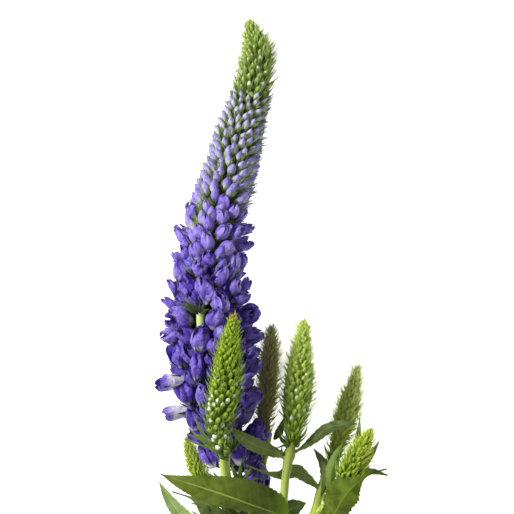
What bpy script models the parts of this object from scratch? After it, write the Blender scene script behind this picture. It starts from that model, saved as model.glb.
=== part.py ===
"""Cut flowering stem of a garden speedwell, lying on a table.

One tall spike tapers from blue-violet flowers through lilac buds to a green tip. Six short green side
spikes and sixteen leaves grow from the same branching stem. X is to the right, Y runs from the cut end to
the tip of the tall spike, Z is up, and the table is the plane Z = 0. Lengths below are in millimetres.
"""

import math
import random

import bmesh
import bpy
from mathutils import Matrix, Vector

MM = 0.001
GAP = 0.3
GOLDEN_ANGLE = math.radians(137.508)
UP = Vector((0.0, 0.0, 1.0))

# Routes: x, y, z and half width at each point, from a spike's tip down, or from a stalk's head down.
MAIN_SPIKE = (
    (-7.2, 93.3, 2.2, 0.9), (-6.0, 89.1, 3.4, 3.3), (-4.6, 83.7, 4.8, 5.1), (-5.0, 77.1, 5.4, 5.5),
    (-6.6, 69.6, 6.1, 6.5), (-9.2, 61.5, 7.1, 7.5), (-11.4, 52.2, 7.7, 8.2), (-13.8, 43.8, 8.2, 8.7),
    (-16.2, 35.7, 8.7, 9.2), (-17.8, 26.7, 9.3, 9.9), (-18.9, 18.3, 9.7, 10.3),
    (-18.8, 9.3, 10.9, 11.7), (-18.3, -0.3, 11.7, 12.6), (-17.2, -9.9, 11.9, 12.9),
    (-15.9, -18.3, 11.5, 12.2), (-14.1, -26.7, 10.7, 11.0), (-11.7, -35.1, 9.8, 9.4),
    (-9.0, -43.5, 8.8, 7.4), (-7.8, -47.1, 8.5, 5.6),
)
SIDE_SPIKES = {
    "side_spike_front": (
        (-11.1, 5.1, 30.2, 0.8), (-12.3, -2.7, 30.2, 3.3), (-13.2, -11.1, 30.4, 4.8),
        (-14.1, -18.3, 30.4, 5.2), (-15.3, -24.3, 29.6, 5.1), (-16.1, -28.5, 28.4, 4.0),
        (-15.3, -32.4, 27.6, 3.0), (-14.1, -36.0, 26.8, 1.8),
    ),
    "side_spike_behind": (
        (0.0, 1.8, 3.0, 0.8), (-0.2, -4.8, 3.2, 2.5), (-0.3, -12.3, 3.3, 3.1), (-0.6, -19.8, 3.3, 3.0),
        (-0.9, -25.8, 3.1, 2.5), (-0.9, -30.9, 2.8, 1.5),
    ),
    "side_spike_middle": (
        (9.6, 3.3, 14.0, 0.8), (9.3, -1.8, 14.4, 2.7), (8.7, -7.8, 14.8, 3.9), (8.1, -15.3, 15.2, 4.9),
        (7.3, -22.8, 15.4, 4.6), (6.6, -28.8, 15.5, 3.3), (6.0, -33.3, 15.5, 1.8),
    ),
    "side_spike_right_back": (
        (26.1, -10.5, 2.8, 0.8), (24.9, -15.9, 3.0, 2.5), (23.4, -21.9, 3.2, 3.8),
        (21.6, -28.8, 3.6, 3.9), (19.8, -34.2, 4.6, 2.7), (18.6, -38.1, 5.3, 1.6),
    ),
    "side_spike_right_front": (
        (30.0, -29.4, 12.5, 0.9), (28.2, -32.7, 12.2, 2.4), (25.8, -37.5, 11.8, 3.6),
        (23.4, -42.3, 11.4, 3.8), (21.3, -46.2, 10.8, 2.4),
    ),
    "side_spike_left": (
        (-25.5, -31.8, 2.6, 0.8), (-24.8, -35.7, 2.8, 2.2), (-23.4, -39.9, 2.8, 3.0),
        (-21.9, -44.1, 2.8, 1.8),
    ),
}
MAIN_STEM = (
    (-7.8, -47.8, 8.3, 1.5), (-6.0, -53.7, 6.4, 1.6), (-3.3, -63.3, 4.2, 1.6), (-0.9, -73.8, 2.8, 1.8),
    (1.4, -94.0, 1.9, 1.9),
)
STALKS = (
    ((-14.0, -36.8, 26.3, 1.5), (-13.5, -42.3, 21.6, 1.5), (-12.3, -48.9, 15.8, 1.4),
     (-9.0, -55.8, 9.6, 1.4), (-3.6, -63.3, 4.4, 1.3)),
    ((-0.9, -31.3, 2.8, 1.0), (-2.2, -38.5, 1.6, 1.0), (-3.5, -44.5, 1.6, 1.0),
     (-4.2, -51.0, 1.9, 1.0), (-3.9, -61.5, 3.8, 1.0)),
    ((6.0, -33.8, 15.5, 1.4), (4.5, -41.1, 15.2, 1.4), (3.6, -49.8, 12.6, 1.3), (2.4, -58.8, 8.4, 1.3),
     (-1.6, -70.3, 3.4, 1.3)),
    ((18.6, -38.6, 5.4, 1.1), (16.2, -43.8, 6.2, 1.2), (14.1, -48.9, 6.6, 1.3), (12.6, -55.8, 6.2, 1.3),
     (8.4, -64.8, 4.6, 1.3), (-0.3, -75.8, 2.7, 1.2)),
    ((21.0, -46.6, 10.6, 1.1), (18.0, -51.3, 8.6, 1.1), (13.0, -55.5, 6.4, 1.1)),
    ((-21.8, -44.7, 2.8, 1.0), (-19.5, -50.4, 3.0, 1.0), (-15.0, -57.3, 3.2, 1.0),
     (-2.4, -67.5, 3.6, 1.0)),
)
# Small leaflets at the heads of the stalks: points x, y, z from root to tip, and half width.
LEAFLETS = (
    (((-14.4, -37.8, 25.4), (-20.5, -33.8, 25.8), (-27.1, -30.6, 25.6)), 0.8),
    (((-14.4, -38.2, 24.6), (-21.4, -34.9, 24.4), (-28.4, -31.9, 24.0)), 0.7),
    (((-13.7, -37.8, 25.2), (-11.2, -36.4, 26.6), (-9.6, -34.8, 27.2)), 0.6),
    (((5.8, -35.0, 15.8), (3.4, -33.9, 16.6), (1.4, -34.4, 17.0)), 0.6),
    (((5.6, -35.2, 15.6), (8.6, -33.4, 16.2), (10.4, -31.4, 16.4)), 0.6),
)
# Leaves: points x, y, z from root to tip, half width, fold in degrees (down if negative) and stations.
LEAVES = {
    "leaf_front_large": (
        ((4.4, -57.7, 11.6), (0.6, -55.2, 15.6), (-5.7, -52.8, 20.6), (-12.6, -50.1, 24.2),
         (-19.5, -47.7, 25.2), (-26.4, -45.5, 24.8), (-33.3, -43.3, 23.4)), 4.9, -16.0, 14),
    "leaf_left_narrow": (
        ((-4.0, -70.6, 3.2), (-9.6, -68.2, 2.9), (-17.4, -64.2, 2.6), (-26.1, -57.3, 2.4),
         (-30.6, -51.9, 2.2), (-33.9, -46.2, 2.0)), 2.1, 10.0, 10),
    "leaf_left_under": (
        ((-12.2, -58.4, 5.6), (-17.1, -55.2, 6.6), (-23.1, -51.3, 6.8),
         (-30.0, -48.9, 6.0)), 2.4, -12.0, 8),
    "leaf_middle_left": (
        ((2.8, -38.5, 15.8), (-1.2, -36.3, 17.6), (-6.0, -34.2, 20.6), (-9.6, -31.8, 22.6),
         (-12.4, -29.4, 23.4)),
        2.0, -12.0, 8),
    "leaf_middle_right": (
        ((7.3, -36.9, 15.6), (9.8, -35.1, 15.7), (13.2, -32.4, 15.0), (16.8, -29.7, 14.0),
         (21.0, -28.6, 13.2), (25.5, -28.4, 12.6)), 2.1, -14.0, 8),
    "leaf_crossing": (
        ((13.0, -46.9, 7.9), (10.2, -44.6, 9.8), (6.9, -42.5, 11.5), (2.4, -43.8, 12.5),
         (-2.4, -42.7, 17.2), (-7.2, -40.9, 20.9)), 2.2, 8.0, 8),
    "leaf_right_folded": (
        ((15.2, -48.8, 8.9), (15.9, -44.7, 9.2), (15.3, -40.2, 9.0), (13.6, -36.3, 8.6)), 1.2, -18.0, 6),
    "leaf_right_front": (
        ((13.8, -58.6, 7.9), (17.7, -54.9, 12.0), (22.5, -50.4, 15.8), (27.6, -46.2, 16.6),
         (34.4, -41.9, 14.6)),
        4.6, -12.0, 12),
    "leaf_right_bluish": (
        ((17.0, -49.5, 10.3), (17.7, -42.9, 11.6), (19.2, -38.4, 11.6),
         (21.3, -34.2, 11.4)), 1.5, -12.0, 6),
    "leaf_low_right": (
        ((-0.6, -64.4, 3.4), (2.0, -60.0, 2.8), (6.0, -55.8, 2.3), (10.5, -52.7, 2.2)), 3.6, 6.0, 9),
    "leaf_right_outer": (
        ((19.4, -50.0, 7.75), (24.0, -45.8, 5.9), (29.4, -42.9, 5.5), (34.8, -44.0, 5.3)), 1.3, -10.0, 6),
    "leaf_right_upper": (
        ((22.2, -47.7, 9.0), (26.4, -42.3, 6.6), (29.7, -37.8, 7.0), (32.1, -33.9, 7.6)), 1.2, -10.0, 6),
    "leaf_right_upright": (
        ((20.3, -47.4, 8.75), (24.0, -39.9, 6.6), (25.8, -32.7, 7.0), (26.4, -26.7, 7.2)), 1.1, -10.0, 6),
    "leaf_left_pale": (
        ((-11.7, -55.0, 9.8), (-13.6, -53.4, 10.2), (-15.0, -50.9, 10.2)), 1.1, -10.0, 5),
    "leaf_left_small": (
        ((-10.2, -57.6, 8.2), (-16.4, -55.6, 9.2), (-21.6, -52.2, 9.6)), 1.1, -10.0, 5),
    "leaf_behind_small": (
        ((0.6, -33.4, 2.3), (2.4, -30.6, 2.4), (3.4, -27.2, 2.4)), 1.2, -8.0, 5),
}
# Leaves that narrow early to a long tip, and the share of their width that the tip loses.
DRAWN_TIPS = {"leaf_right_front": 0.7, "leaf_crossing": 0.6}
# Florets: widths, the patch of the head's surface that each takes, and how far they rise from square.
BLOOM_WIDTH = 7.0
BLOOM_CELL = 7.3
BLOOM_RISE = math.radians(38.0)
BUD_WIDTH = 3.1
BUD_CELL = 3.2
BUD_CELL_GROWTH = 1.2
BUD_RISE = math.radians(46.0)
SCALE_WIDTH = 2.3
SCALE_CELL = 3.0
SCALE_RISE = math.radians(58.0)
BEAD_WIDTH = 2.8
BEAD_CELL = 3.5
BEAD_RISE = math.radians(52.0)
# Shape of an open flower, as shares of its width and length: at a petal's middle and between two petals.
BELLY_OUT = (0.5, 0.44)
MOUTH_OUT = (0.38, 0.27)
MOUTH_UP = (0.98, 0.88)
BLOOM_BELLY_AT = 0.55
LONG_BELLY_AT = 0.84
# Two long flowers stand out of the left side: root, direction, width and length.
LONG_FLOWERS = (
    ((-21.0, -15.2, 13.0), (-1.0, -0.04, 0.06), 6.4, 13.2),
    ((-19.0, -25.0, 12.4), (-1.0, 0.0, 0.05), 4.9, 14.2),
)
# Heads: the core's share of the half width, where the florets root, and where the main spike's zones part.
CORE_SHARE = 0.66
ROOT_SHARE = 0.36
BUDS_START = 71.6
BLOOMS_START = 20.0
SPIKE_TOP = 93.0
SPIKE_FOOT = -46.0
SLENDER_BELOW = 3.4
# Florets lean further in, this much for each millimetre that a head is slimmer than this, up to a limit.
SLIM_WIDTH = 3.0
SLIM_LEAN = 0.12
MOST_LEAN = math.radians(82.0)
# Random seeds, and the least and most that one floret's turn, rise and size differ from the rule.
BLOOMS_SEED = 11
BUDS_SEED = 12
TIP_SEED = 13
FIRST_SIDE_SEED = 21
TURN_SPREAD = 0.16
RISE_SPREAD = 0.1
SIZE_SPREAD = (0.9, 1.08)
# Leaves and stems.
LEAF_THICKNESS = 0.7
LEAF_TOOTH = 0.16
LEAFLET_THICKNESS = 0.35
STEM_SIDES = 8
STALK_SIDES = 6
CORE_SIDES = 8
SIDE_CORE_SIDES = 6
SHARP_ANGLE = math.radians(50.0)


def clear_scene():
    """Removes every object, so that the file starts empty."""
    for thing in list(bpy.data.objects):
        bpy.data.objects.remove(thing)


def finish_of(name, colour, roughness):
    """Makes a plain non-metal material."""
    finish = bpy.data.materials.new(name)
    finish.use_nodes = True
    shader = finish.node_tree.nodes["Principled BSDF"]
    shader.inputs["Base Color"].default_value = (*colour, 1.0)
    shader.inputs["Roughness"].default_value = roughness
    shader.inputs["Metallic"].default_value = 0.0
    return finish


def object_from(name, shape, finish=None):
    """Turns a bmesh in millimetres into an object in metres."""
    bmesh.ops.recalc_face_normals(shape, faces=shape.faces)
    bmesh.ops.scale(shape, vec=(MM, MM, MM), verts=shape.verts)
    mesh = bpy.data.meshes.new(name)
    shape.to_mesh(mesh)
    shape.free()
    if finish:
        mesh.materials.append(finish)
    thing = bpy.data.objects.new(name, mesh)
    bpy.context.scene.collection.objects.link(thing)
    return thing


def between(before, start, end, after, share):
    """Catmull-Rom point between start and end."""
    square = share * share
    cube = square * share
    return 0.5 * (
        2.0 * start
        + (end - before) * share
        + (2.0 * before - 5.0 * start + 4.0 * end - after) * square
        + (3.0 * start - before - 3.0 * end + after) * cube
    )


def smooth_route(points, steps):
    """Points of a smooth curve through the given ones, each with its half width, steps to a span."""
    given = [Vector(point) for point in points]
    ends = [2.0 * given[0] - given[1]] + given + [2.0 * given[-1] - given[-2]]
    route = []
    for i in range(len(given) - 1):
        for k in range(steps):
            route.append(between(*ends[i : i + 4], k / steps))
    route.append(given[-1])
    return route


def direction_at(places, i):
    """Unit tangent of a row of places at place i."""
    ahead = places[min(i + 1, len(places) - 1)]
    behind = places[max(i - 1, 0)]
    return (ahead - behind).normalized()


def ring_round(shape, centre, along, radius, sides, turn=0.0):
    """Adds a ring of vertices square to a direction."""
    across = along.cross(UP)
    if across.length < 0.2:
        across = along.cross(Vector((1.0, 0.0, 0.0)))
    across.normalize()
    other = across.cross(along)
    ring = []
    for k in range(sides):
        angle = turn + math.tau * k / sides
        place = centre + (across * math.cos(angle) + other * math.sin(angle)) * radius
        ring.append(shape.verts.new(place))
    return ring


def skin(shape, rings):
    """Closes the wall between neighbouring rings, and the first and last ring."""
    for first, second in zip(rings, rings[1:]):
        count = len(first)
        for k in range(count):
            after = (k + 1) % count
            shape.faces.new((first[k], first[after], second[after], second[k]))
    shape.faces.new(list(reversed(rings[0])))
    shape.faces.new(rings[-1])


def tube(points, sides, steps, share=1.0):
    """A round rod along a route whose points hold a half width."""
    route = smooth_route(points, steps)
    places = [spot.xyz for spot in route]
    shape = bmesh.new()
    rings = []
    for i, spot in enumerate(route):
        rings.append(ring_round(shape, places[i], direction_at(places, i), spot.w * share, sides))
    skin(shape, rings)
    return shape


def bloom(width, length, belly_at=BLOOM_BELLY_AT):
    """A half open flower: a pointed root, a full cup and a four lobed mouth round a hollow."""
    shape = bmesh.new()
    root = shape.verts.new((0.0, 0.0, 0.0))
    belly = []
    mouth = []
    for k in range(8):
        angle = math.tau * k / 8
        notch = k % 2
        out = Vector((math.cos(angle), math.sin(angle), 0.0)) * width
        belly.append(shape.verts.new(out * BELLY_OUT[notch] + UP * length * belly_at))
        mouth.append(shape.verts.new(out * MOUTH_OUT[notch] + UP * length * MOUTH_UP[notch]))
    throat = shape.verts.new(UP * length * (0.3 + 0.7 * belly_at))
    for k in range(8):
        after = (k + 1) % 8
        shape.faces.new((root, belly[after], belly[k]))
        shape.faces.new((belly[k], belly[after], mouth[after], mouth[k]))
        shape.faces.new((mouth[k], mouth[after], throat))
    return shape


def bud(width, length, sides=4, belly_at=0.5):
    """A closed teardrop: a pointed root, a full belly and a point."""
    shape = bmesh.new()
    root = shape.verts.new((0.0, 0.0, 0.0))
    belly = ring_round(shape, UP * length * belly_at, UP, 0.5 * width, sides)
    tip = shape.verts.new(UP * length)
    for k in range(sides):
        after = (k + 1) % sides
        shape.faces.new((root, belly[after], belly[k]))
        shape.faces.new((belly[k], belly[after], tip))
    return shape


def scale(width, length):
    """A three sided pointed bract."""
    return bud(width, length, sides=3, belly_at=0.45)


def bead(width, length):
    """A round-bellied green bud."""
    return bud(width, length, sides=3, belly_at=0.6)


def turned_to(direction, root, spin):
    """Matrix that stands a floret on its root, in metres, along a direction."""
    turn = UP.rotation_difference(direction).to_matrix().to_4x4()
    return Matrix.Translation(root * MM) @ turn @ Matrix.Rotation(spin, 4, "Z")


class Head:
    """A dense flower head: a slim core with its florets, fused in one solid."""

    def __init__(self, name, core, finish):
        self.name = name
        self.core = object_from(name, core, finish)
        self.finish = finish
        self.florets = bpy.data.collections.new(name + "_florets")
        bpy.context.scene.collection.children.link(self.florets)

    def add(self, shape, matrix):
        """Stands one more floret on the core."""
        floret = object_from(self.name + "_floret", shape, self.finish)
        floret.matrix_world = matrix
        bpy.context.scene.collection.objects.unlink(floret)
        self.florets.objects.link(floret)

    def fuse(self):
        """Joins the florets to the core and removes the loose copies."""
        if self.florets.objects:
            apply_boolean(self.core, "UNION", self.florets)
        for floret in list(self.florets.objects):
            bpy.data.objects.remove(floret)
        bpy.data.collections.remove(self.florets)
        return self.core


def apply_boolean(thing, operation, other):
    """Applies a Boolean with an object or a collection to an object."""
    cut = thing.modifiers.new("join", "BOOLEAN")
    cut.operation = operation
    cut.solver = "MANIFOLD"
    if isinstance(other, bpy.types.Collection):
        cut.operand_type = "COLLECTION"
        cut.collection = other
    else:
        cut.object = other
    bpy.context.view_layer.objects.active = thing
    bpy.ops.object.modifier_apply(modifier=cut.name)


def trim(thing, shape):
    """Cuts a shape away from an object and drops what comes loose."""
    cutter = object_from("cutter", shape)
    apply_boolean(thing, "DIFFERENCE", cutter)
    bpy.data.objects.remove(cutter)
    keep_largest(thing)


def keep_largest(thing):
    """Keeps only the piece of a mesh that has the most corners."""
    shape = bmesh.new()
    shape.from_mesh(thing.data)
    left = set(shape.verts)
    pieces = []
    while left:
        front = [left.pop()]
        piece = list(front)
        while front:
            corner = front.pop()
            for edge in corner.link_edges:
                other = edge.other_vert(corner)
                if other in left:
                    left.remove(other)
                    front.append(other)
                    piece.append(other)
        pieces.append(piece)
    pieces.sort(key=len)
    for piece in pieces[:-1]:
        bmesh.ops.delete(shape, geom=piece, context="VERTS")
    shape.to_mesh(thing.data)
    shape.free()


def florets_down(route, top, bottom, cell, draw):
    """Places for florets down a head: centre, direction to the tip, outward direction and half width.

    Each place is one golden angle on from the last. The step down the head gives every floret a patch of
    cell times cell on the head's surface. Top and bottom bound the places by their Y.
    """
    places = [spot.xyz for spot in route]
    travelled = 0.0
    wanted = 0.0
    turn = 0.0
    for i in range(len(route) - 1):
        step = (places[i + 1] - places[i]).length
        travelled += step
        while travelled >= wanted:
            share = 1.0 - (travelled - wanted) / step
            centre = places[i].lerp(places[i + 1], share)
            width = route[i].w + (route[i + 1].w - route[i].w) * share
            towards_tip = -direction_at(places, i)
            side = towards_tip.cross(UP).normalized()
            front = side.cross(towards_tip)
            angle = turn + draw.uniform(-TURN_SPREAD, TURN_SPREAD)
            outward = side * math.cos(angle) + front * math.sin(angle)
            if bottom <= centre.y <= top:
                yield centre, towards_tip, outward, width
            patch = cell(centre.y)
            wanted += patch * patch / (math.tau * max(width * 0.8, patch * 0.35))
            turn += GOLDEN_ANGLE


def boundary(route, height, rise, above):
    """A turned solid above or below the bowl that parts two zones of the main spike."""
    places = [spot.xyz for spot in route]
    i = min(range(len(places)), key=lambda k: abs(places[k].y - height))
    towards_tip = -direction_at(places, i)
    core = route[i].w * CORE_SHARE
    reach = route[i].w * 1.6
    slope = math.tan(rise)
    offset = 0.5 * GAP / math.cos(rise) * (-1.0 if above else 1.0)
    end = (reach - core) * slope + 12.0 if above else -14.0
    rim = [(core, offset), (reach, (reach - core) * slope + offset), (reach, end)]
    shape = bmesh.new()
    rings = []
    for radius, along in rim:
        rings.append(ring_round(shape, places[i] + towards_tip * along, towards_tip, radius, 16))
    skin(shape, rings)
    return shape


def shade_round(thing):
    """Shades a piece smooth except over its sharp edges."""
    thing.data.shade_smooth()
    thing.data.set_sharp_from_angle(angle=SHARP_ANGLE)


def floor_block():
    """Everything below the table."""
    shape = bmesh.new()
    bmesh.ops.create_cube(shape, size=1.0)
    bmesh.ops.scale(shape, vec=(120.0, 260.0, 20.0), verts=shape.verts)
    bmesh.ops.translate(shape, vec=(0.0, 0.0, -10.0), verts=shape.verts)
    return shape


def leaf_half_width(half_width, station, stations, drawn):
    """Half width of a blade at a station: a lance shape with a tooth at every other station."""
    share = station / stations
    profile = math.sin(math.pi * min(share, 0.999) ** 0.8) ** 0.8
    profile *= 1.0 - drawn * min(max((share - 0.5) / 0.25, 0.0), 1.0)
    tooth = LEAF_TOOTH * (1.0 if station % 2 else -1.0)
    least = 0.3 if station else 0.45
    return max(half_width * profile * (0.92 + tooth), least)


def leaf(name, points, half_width, fold, stations, finish):
    """A toothed blade, folded along its midrib, thick enough to handle."""
    route = smooth_route(points, 8)
    bend = math.radians(fold)
    shape = bmesh.new()
    rows = []
    for i in range(stations + 1):
        at = i / stations * (len(route) - 1)
        k = min(int(at), len(route) - 2)
        middle = route[k].lerp(route[k + 1], at - k)
        along = direction_at(route, min(k + 1, len(route) - 1))
        side = along.cross(UP).normalized()
        normal = side.cross(along)
        half = leaf_half_width(half_width, i, stations, DRAWN_TIPS.get(name, 0.0))
        edge = side * half * math.cos(bend)
        lift = normal * half * math.sin(bend)
        top = [middle - edge + lift, middle, middle + edge + lift]
        low = [place - normal * LEAF_THICKNESS for place in top]
        rows.append(([shape.verts.new(place) for place in top], [shape.verts.new(place) for place in low]))
    for (top, low), (next_top, next_low) in zip(rows, rows[1:]):
        for face, next_face in ((top, next_top), (low, next_low)):
            for k in range(2):
                shape.faces.new((face[k], face[k + 1], next_face[k + 1]))
                shape.faces.new((face[k], next_face[k + 1], next_face[k]))
        for k in (0, 2):
            shape.faces.new((top[k], next_top[k], next_low[k]))
            shape.faces.new((top[k], next_low[k], low[k]))
    for top, low in (rows[0], rows[-1]):
        for k in range(2):
            shape.faces.new((top[k], top[k + 1], low[k + 1], low[k]))
    return object_from(name, shape, finish)


def leaflet(points, half_width):
    """A narrow pointed leaflet with a flat three sided section."""
    route = smooth_route(points, 2)
    shape = bmesh.new()
    rings = []
    for i, middle in enumerate(route[:-1]):
        share = i / (len(route) - 1)
        half = half_width * (1.0 - share ** 2) ** 0.5
        along = direction_at(route, i)
        side = along.cross(UP).normalized()
        normal = side.cross(along)
        thick = LEAFLET_THICKNESS * (1.0 - 0.5 * share)
        rings.append([
            shape.verts.new(middle - side * half), shape.verts.new(middle + normal * thick),
            shape.verts.new(middle + side * half), shape.verts.new(middle - normal * thick),
        ])
    tip = shape.verts.new(route[-1])
    for first, second in zip(rings, rings[1:]):
        for k in range(4):
            after = (k + 1) % 4
            shape.faces.new((first[k], first[after], second[after], second[k]))
    shape.faces.new(list(reversed(rings[0])))
    for k in range(4):
        shape.faces.new((rings[-1][k], rings[-1][(k + 1) % 4], tip))
    return shape


def stand(head, make, place, rise, size, draw):
    """Stands one floret in a head so that it reaches the head's half width.

    Florets lean in towards the axis where the head narrows to its tip.
    """
    centre, towards_tip, outward, width = place
    lean = min(rise + max(0.0, SLIM_WIDTH - width) * SLIM_LEAN, MOST_LEAN)
    root_out = width * ROOT_SHARE
    reach = (width - root_out - 0.3 * size * math.sin(lean)) / math.cos(lean)
    length = min(max(reach, 1.1 * size), 1.6 + 1.1 * width)
    direction = (outward * math.cos(lean) + towards_tip * math.sin(lean)).normalized()
    spin = draw.uniform(0.0, math.tau)
    head.add(make(size, length), turned_to(direction, centre + outward * root_out, spin))


def bud_age(height):
    """How far down the bud zone a height lies, from 0 at the green tip to 1 at the flowers."""
    return (BUDS_START - height) / (BUDS_START - BLOOMS_START)


def main_blooms(route, finish):
    """The flowers of the tall spike, with the two long ones on its left."""
    draw = random.Random(BLOOMS_SEED)
    head = Head("main_spike_blooms", tube(MAIN_SPIKE[8:], CORE_SIDES, 1, CORE_SHARE), finish)
    for place in florets_down(route, BLOOMS_START - 2.5, SPIKE_FOOT, lambda height: BLOOM_CELL, draw):
        rise = BLOOM_RISE + draw.uniform(-RISE_SPREAD, RISE_SPREAD)
        size = BLOOM_WIDTH * draw.uniform(*SIZE_SPREAD)
        stand(head, bloom, place, rise, size, draw)
    for root, direction, size, length in LONG_FLOWERS:
        shape = bloom(size, length, LONG_BELLY_AT)
        head.add(shape, turned_to(Vector(direction).normalized(), Vector(root), 0.3))
    return head.fuse()


def main_buds(route, finish):
    """The lilac buds of the tall spike, larger towards the flowers."""
    draw = random.Random(BUDS_SEED)
    head = Head("main_spike_buds", tube(MAIN_SPIKE[3:11], CORE_SIDES, 1, CORE_SHARE), finish)

    def cell(height):
        return BUD_CELL + BUD_CELL_GROWTH * bud_age(height)

    for place in florets_down(route, BUDS_START - 1.5, BLOOMS_START - 1.6, cell, draw):
        size = BUD_WIDTH * (0.62 + 0.42 * bud_age(place[0].y))
        stand(head, bud, place, BUD_RISE, size, draw)
    return head.fuse()


def main_tip(route, finish):
    """The green unopened tip of the tall spike."""
    draw = random.Random(TIP_SEED)
    head = Head("main_spike_tip", tube(MAIN_SPIKE[:6], SIDE_CORE_SIDES, 1, CORE_SHARE), finish)
    for place in florets_down(route, SPIKE_TOP, BUDS_START - 1.2, lambda height: SCALE_CELL, draw):
        stand(head, scale, place, SCALE_RISE, SCALE_WIDTH, draw)
    return head.fuse()


def main_spike(finishes):
    """The tall spike in three zones, parted by a bowl that follows the rise of their florets."""
    route = smooth_route(MAIN_SPIKE, 4)
    blooms = main_blooms(route, finishes["violet"])
    buds = main_buds(route, finishes["lilac"])
    tip = main_tip(route, finishes["green"])
    trim(blooms, boundary(route, BLOOMS_START, BUD_RISE, True))
    trim(buds, boundary(route, BLOOMS_START, BUD_RISE, False))
    trim(buds, boundary(route, BUDS_START, SCALE_RISE, True))
    trim(tip, boundary(route, BUDS_START, SCALE_RISE, False))
    for thing in (blooms, buds, tip):
        trim(thing, floor_block())


def side_spike(name, points, seed, finish):
    """A short green spike of beads that crowd into scales at the tip."""
    draw = random.Random(seed)
    route = smooth_route(points, 4)
    head = Head(name, tube(points, SIDE_CORE_SIDES, 1, CORE_SHARE), finish)
    top = route[0].y - 0.3
    bottom = route[-1].y + 1.0
    for place in florets_down(route, top, bottom, lambda height: BEAD_CELL, draw):
        make = scale if place[3] < SLENDER_BELOW else bead
        stand(head, make, place, BEAD_RISE, BEAD_WIDTH, draw)
    trim(head.fuse(), floor_block())


def branching_stem(finish):
    """The main stem with its cut end, the stalks of the side spikes and their leaflets, grown as one."""
    stem = Head("branching_stem", tube(MAIN_STEM, STEM_SIDES, 3), finish)
    for stalk in STALKS:
        stem.add(tube(stalk, STALK_SIDES, 2), Matrix())
    for points, half_width in LEAFLETS:
        stem.add(leaflet(points, half_width), Matrix())
    trim(stem.fuse(), floor_block())


def build():
    """Models the whole flowering stem."""
    clear_scene()
    finishes = {
        "violet": finish_of("violet_petals", (0.125, 0.065, 0.56), 0.5),
        "lilac": finish_of("lilac_buds", (0.38, 0.33, 0.72), 0.5),
        "green": finish_of("green_buds", (0.19, 0.33, 0.03), 0.55),
        "stem": finish_of("green_stem", (0.30, 0.42, 0.10), 0.45),
        "leaf": finish_of("leaf_blade", (0.10, 0.19, 0.03), 0.45),
    }
    branching_stem(finishes["stem"])
    main_spike(finishes)
    for seed, (name, points) in enumerate(SIDE_SPIKES.items(), start=FIRST_SIDE_SEED):
        side_spike(name, points, seed, finishes["green"])
    for name, (points, half_width, fold, stations) in LEAVES.items():
        leaf(name, points, half_width, fold, stations, finishes["leaf"])
    for thing in bpy.data.objects:
        shade_round(thing)


build()
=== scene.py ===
"""Looks of a cut flowering stem of a garden speedwell, lying on a pale table under soft studio light.

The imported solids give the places. Finer pieces on the same routes replace them: flowers of crumpled
petals, lilac buds in green sepals, needle bracts and round green buds, toothed and veined leaves and hairy
stalks. Lengths are millimetres until a piece's mesh is made, and then metres.
"""

import logging
import math
import random
from dataclasses import dataclass, field
from enum import Enum
from functools import partial
from typing import Any, Callable, Iterator

import bpy
import numpy as np
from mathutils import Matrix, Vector


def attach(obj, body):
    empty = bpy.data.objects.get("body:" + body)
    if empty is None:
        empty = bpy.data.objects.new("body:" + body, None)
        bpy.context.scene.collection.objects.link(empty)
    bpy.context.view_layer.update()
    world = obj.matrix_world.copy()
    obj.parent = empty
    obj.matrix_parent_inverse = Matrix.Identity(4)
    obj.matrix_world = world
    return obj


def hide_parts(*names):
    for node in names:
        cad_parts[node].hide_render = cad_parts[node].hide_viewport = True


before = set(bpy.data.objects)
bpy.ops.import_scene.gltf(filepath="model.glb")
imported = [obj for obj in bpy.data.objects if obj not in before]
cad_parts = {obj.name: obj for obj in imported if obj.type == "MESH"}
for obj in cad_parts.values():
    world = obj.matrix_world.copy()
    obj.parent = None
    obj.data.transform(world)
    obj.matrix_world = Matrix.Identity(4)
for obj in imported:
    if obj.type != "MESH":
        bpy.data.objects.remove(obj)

LOG = logging.getLogger("speedwell")
MM = 0.001
UP = np.array((0.0, 0.0, 1.0))
NEARLY_UP = np.array((0.0, 0.01, 1.0))
GOLDEN_ANGLE = math.radians(137.508)
Array = np.ndarray
Point = tuple[float, float, float]
RoutePoint = tuple[float, float, float, float]
VALUE_NAMES = ("along", "across", "age", "tone", "pale")


class Slot(Enum):
    """The record's material slots."""

    STEM = "stem"
    PETALS = "violet_petals"
    BUDS = "lilac_buds"
    GREENS = "green_buds"
    LEAF = "leaf"


@dataclass(frozen=True)
class FlowerShape:
    """Root, mouth and crumple as shares of half the width, the belly's place and half a petal's span."""

    root: float
    belly: float
    mouth: float
    crumple: float
    span: float


class FlowerForm(Enum):
    """How far a flower has opened."""

    CLOSED = FlowerShape(0.36, 0.52, 0.2, 0.26, 94.0)
    CUP = FlowerShape(0.32, 0.58, 0.5, 0.4, 78.0)
    OPEN = FlowerShape(0.26, 0.55, 0.8, 0.3, 66.0)
    TUBE = FlowerShape(0.6, 0.7, 0.5, 0.12, 60.0)


def unit(vector: Array) -> Array:
    """The vector at length one."""
    return vector / np.linalg.norm(vector)


def around(axis: Array, angle: float, up: Array = UP) -> Array:
    """The way out from an axis, at an angle from its right hand side."""
    side = unit(np.cross(axis, up))
    return side * math.cos(angle) + np.cross(side, axis) * math.sin(angle)


def linear(code: str) -> tuple[float, ...]:
    """Turns an sRGB hex colour to linear red, green and blue, with full cover."""
    parts = [int(code[i : i + 2], 16) / 255.0 for i in (1, 3, 5)]
    return (*(c / 12.92 if c <= 0.04045 else ((c + 0.055) / 1.055) ** 2.4 for c in parts), 1.0)


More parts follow.
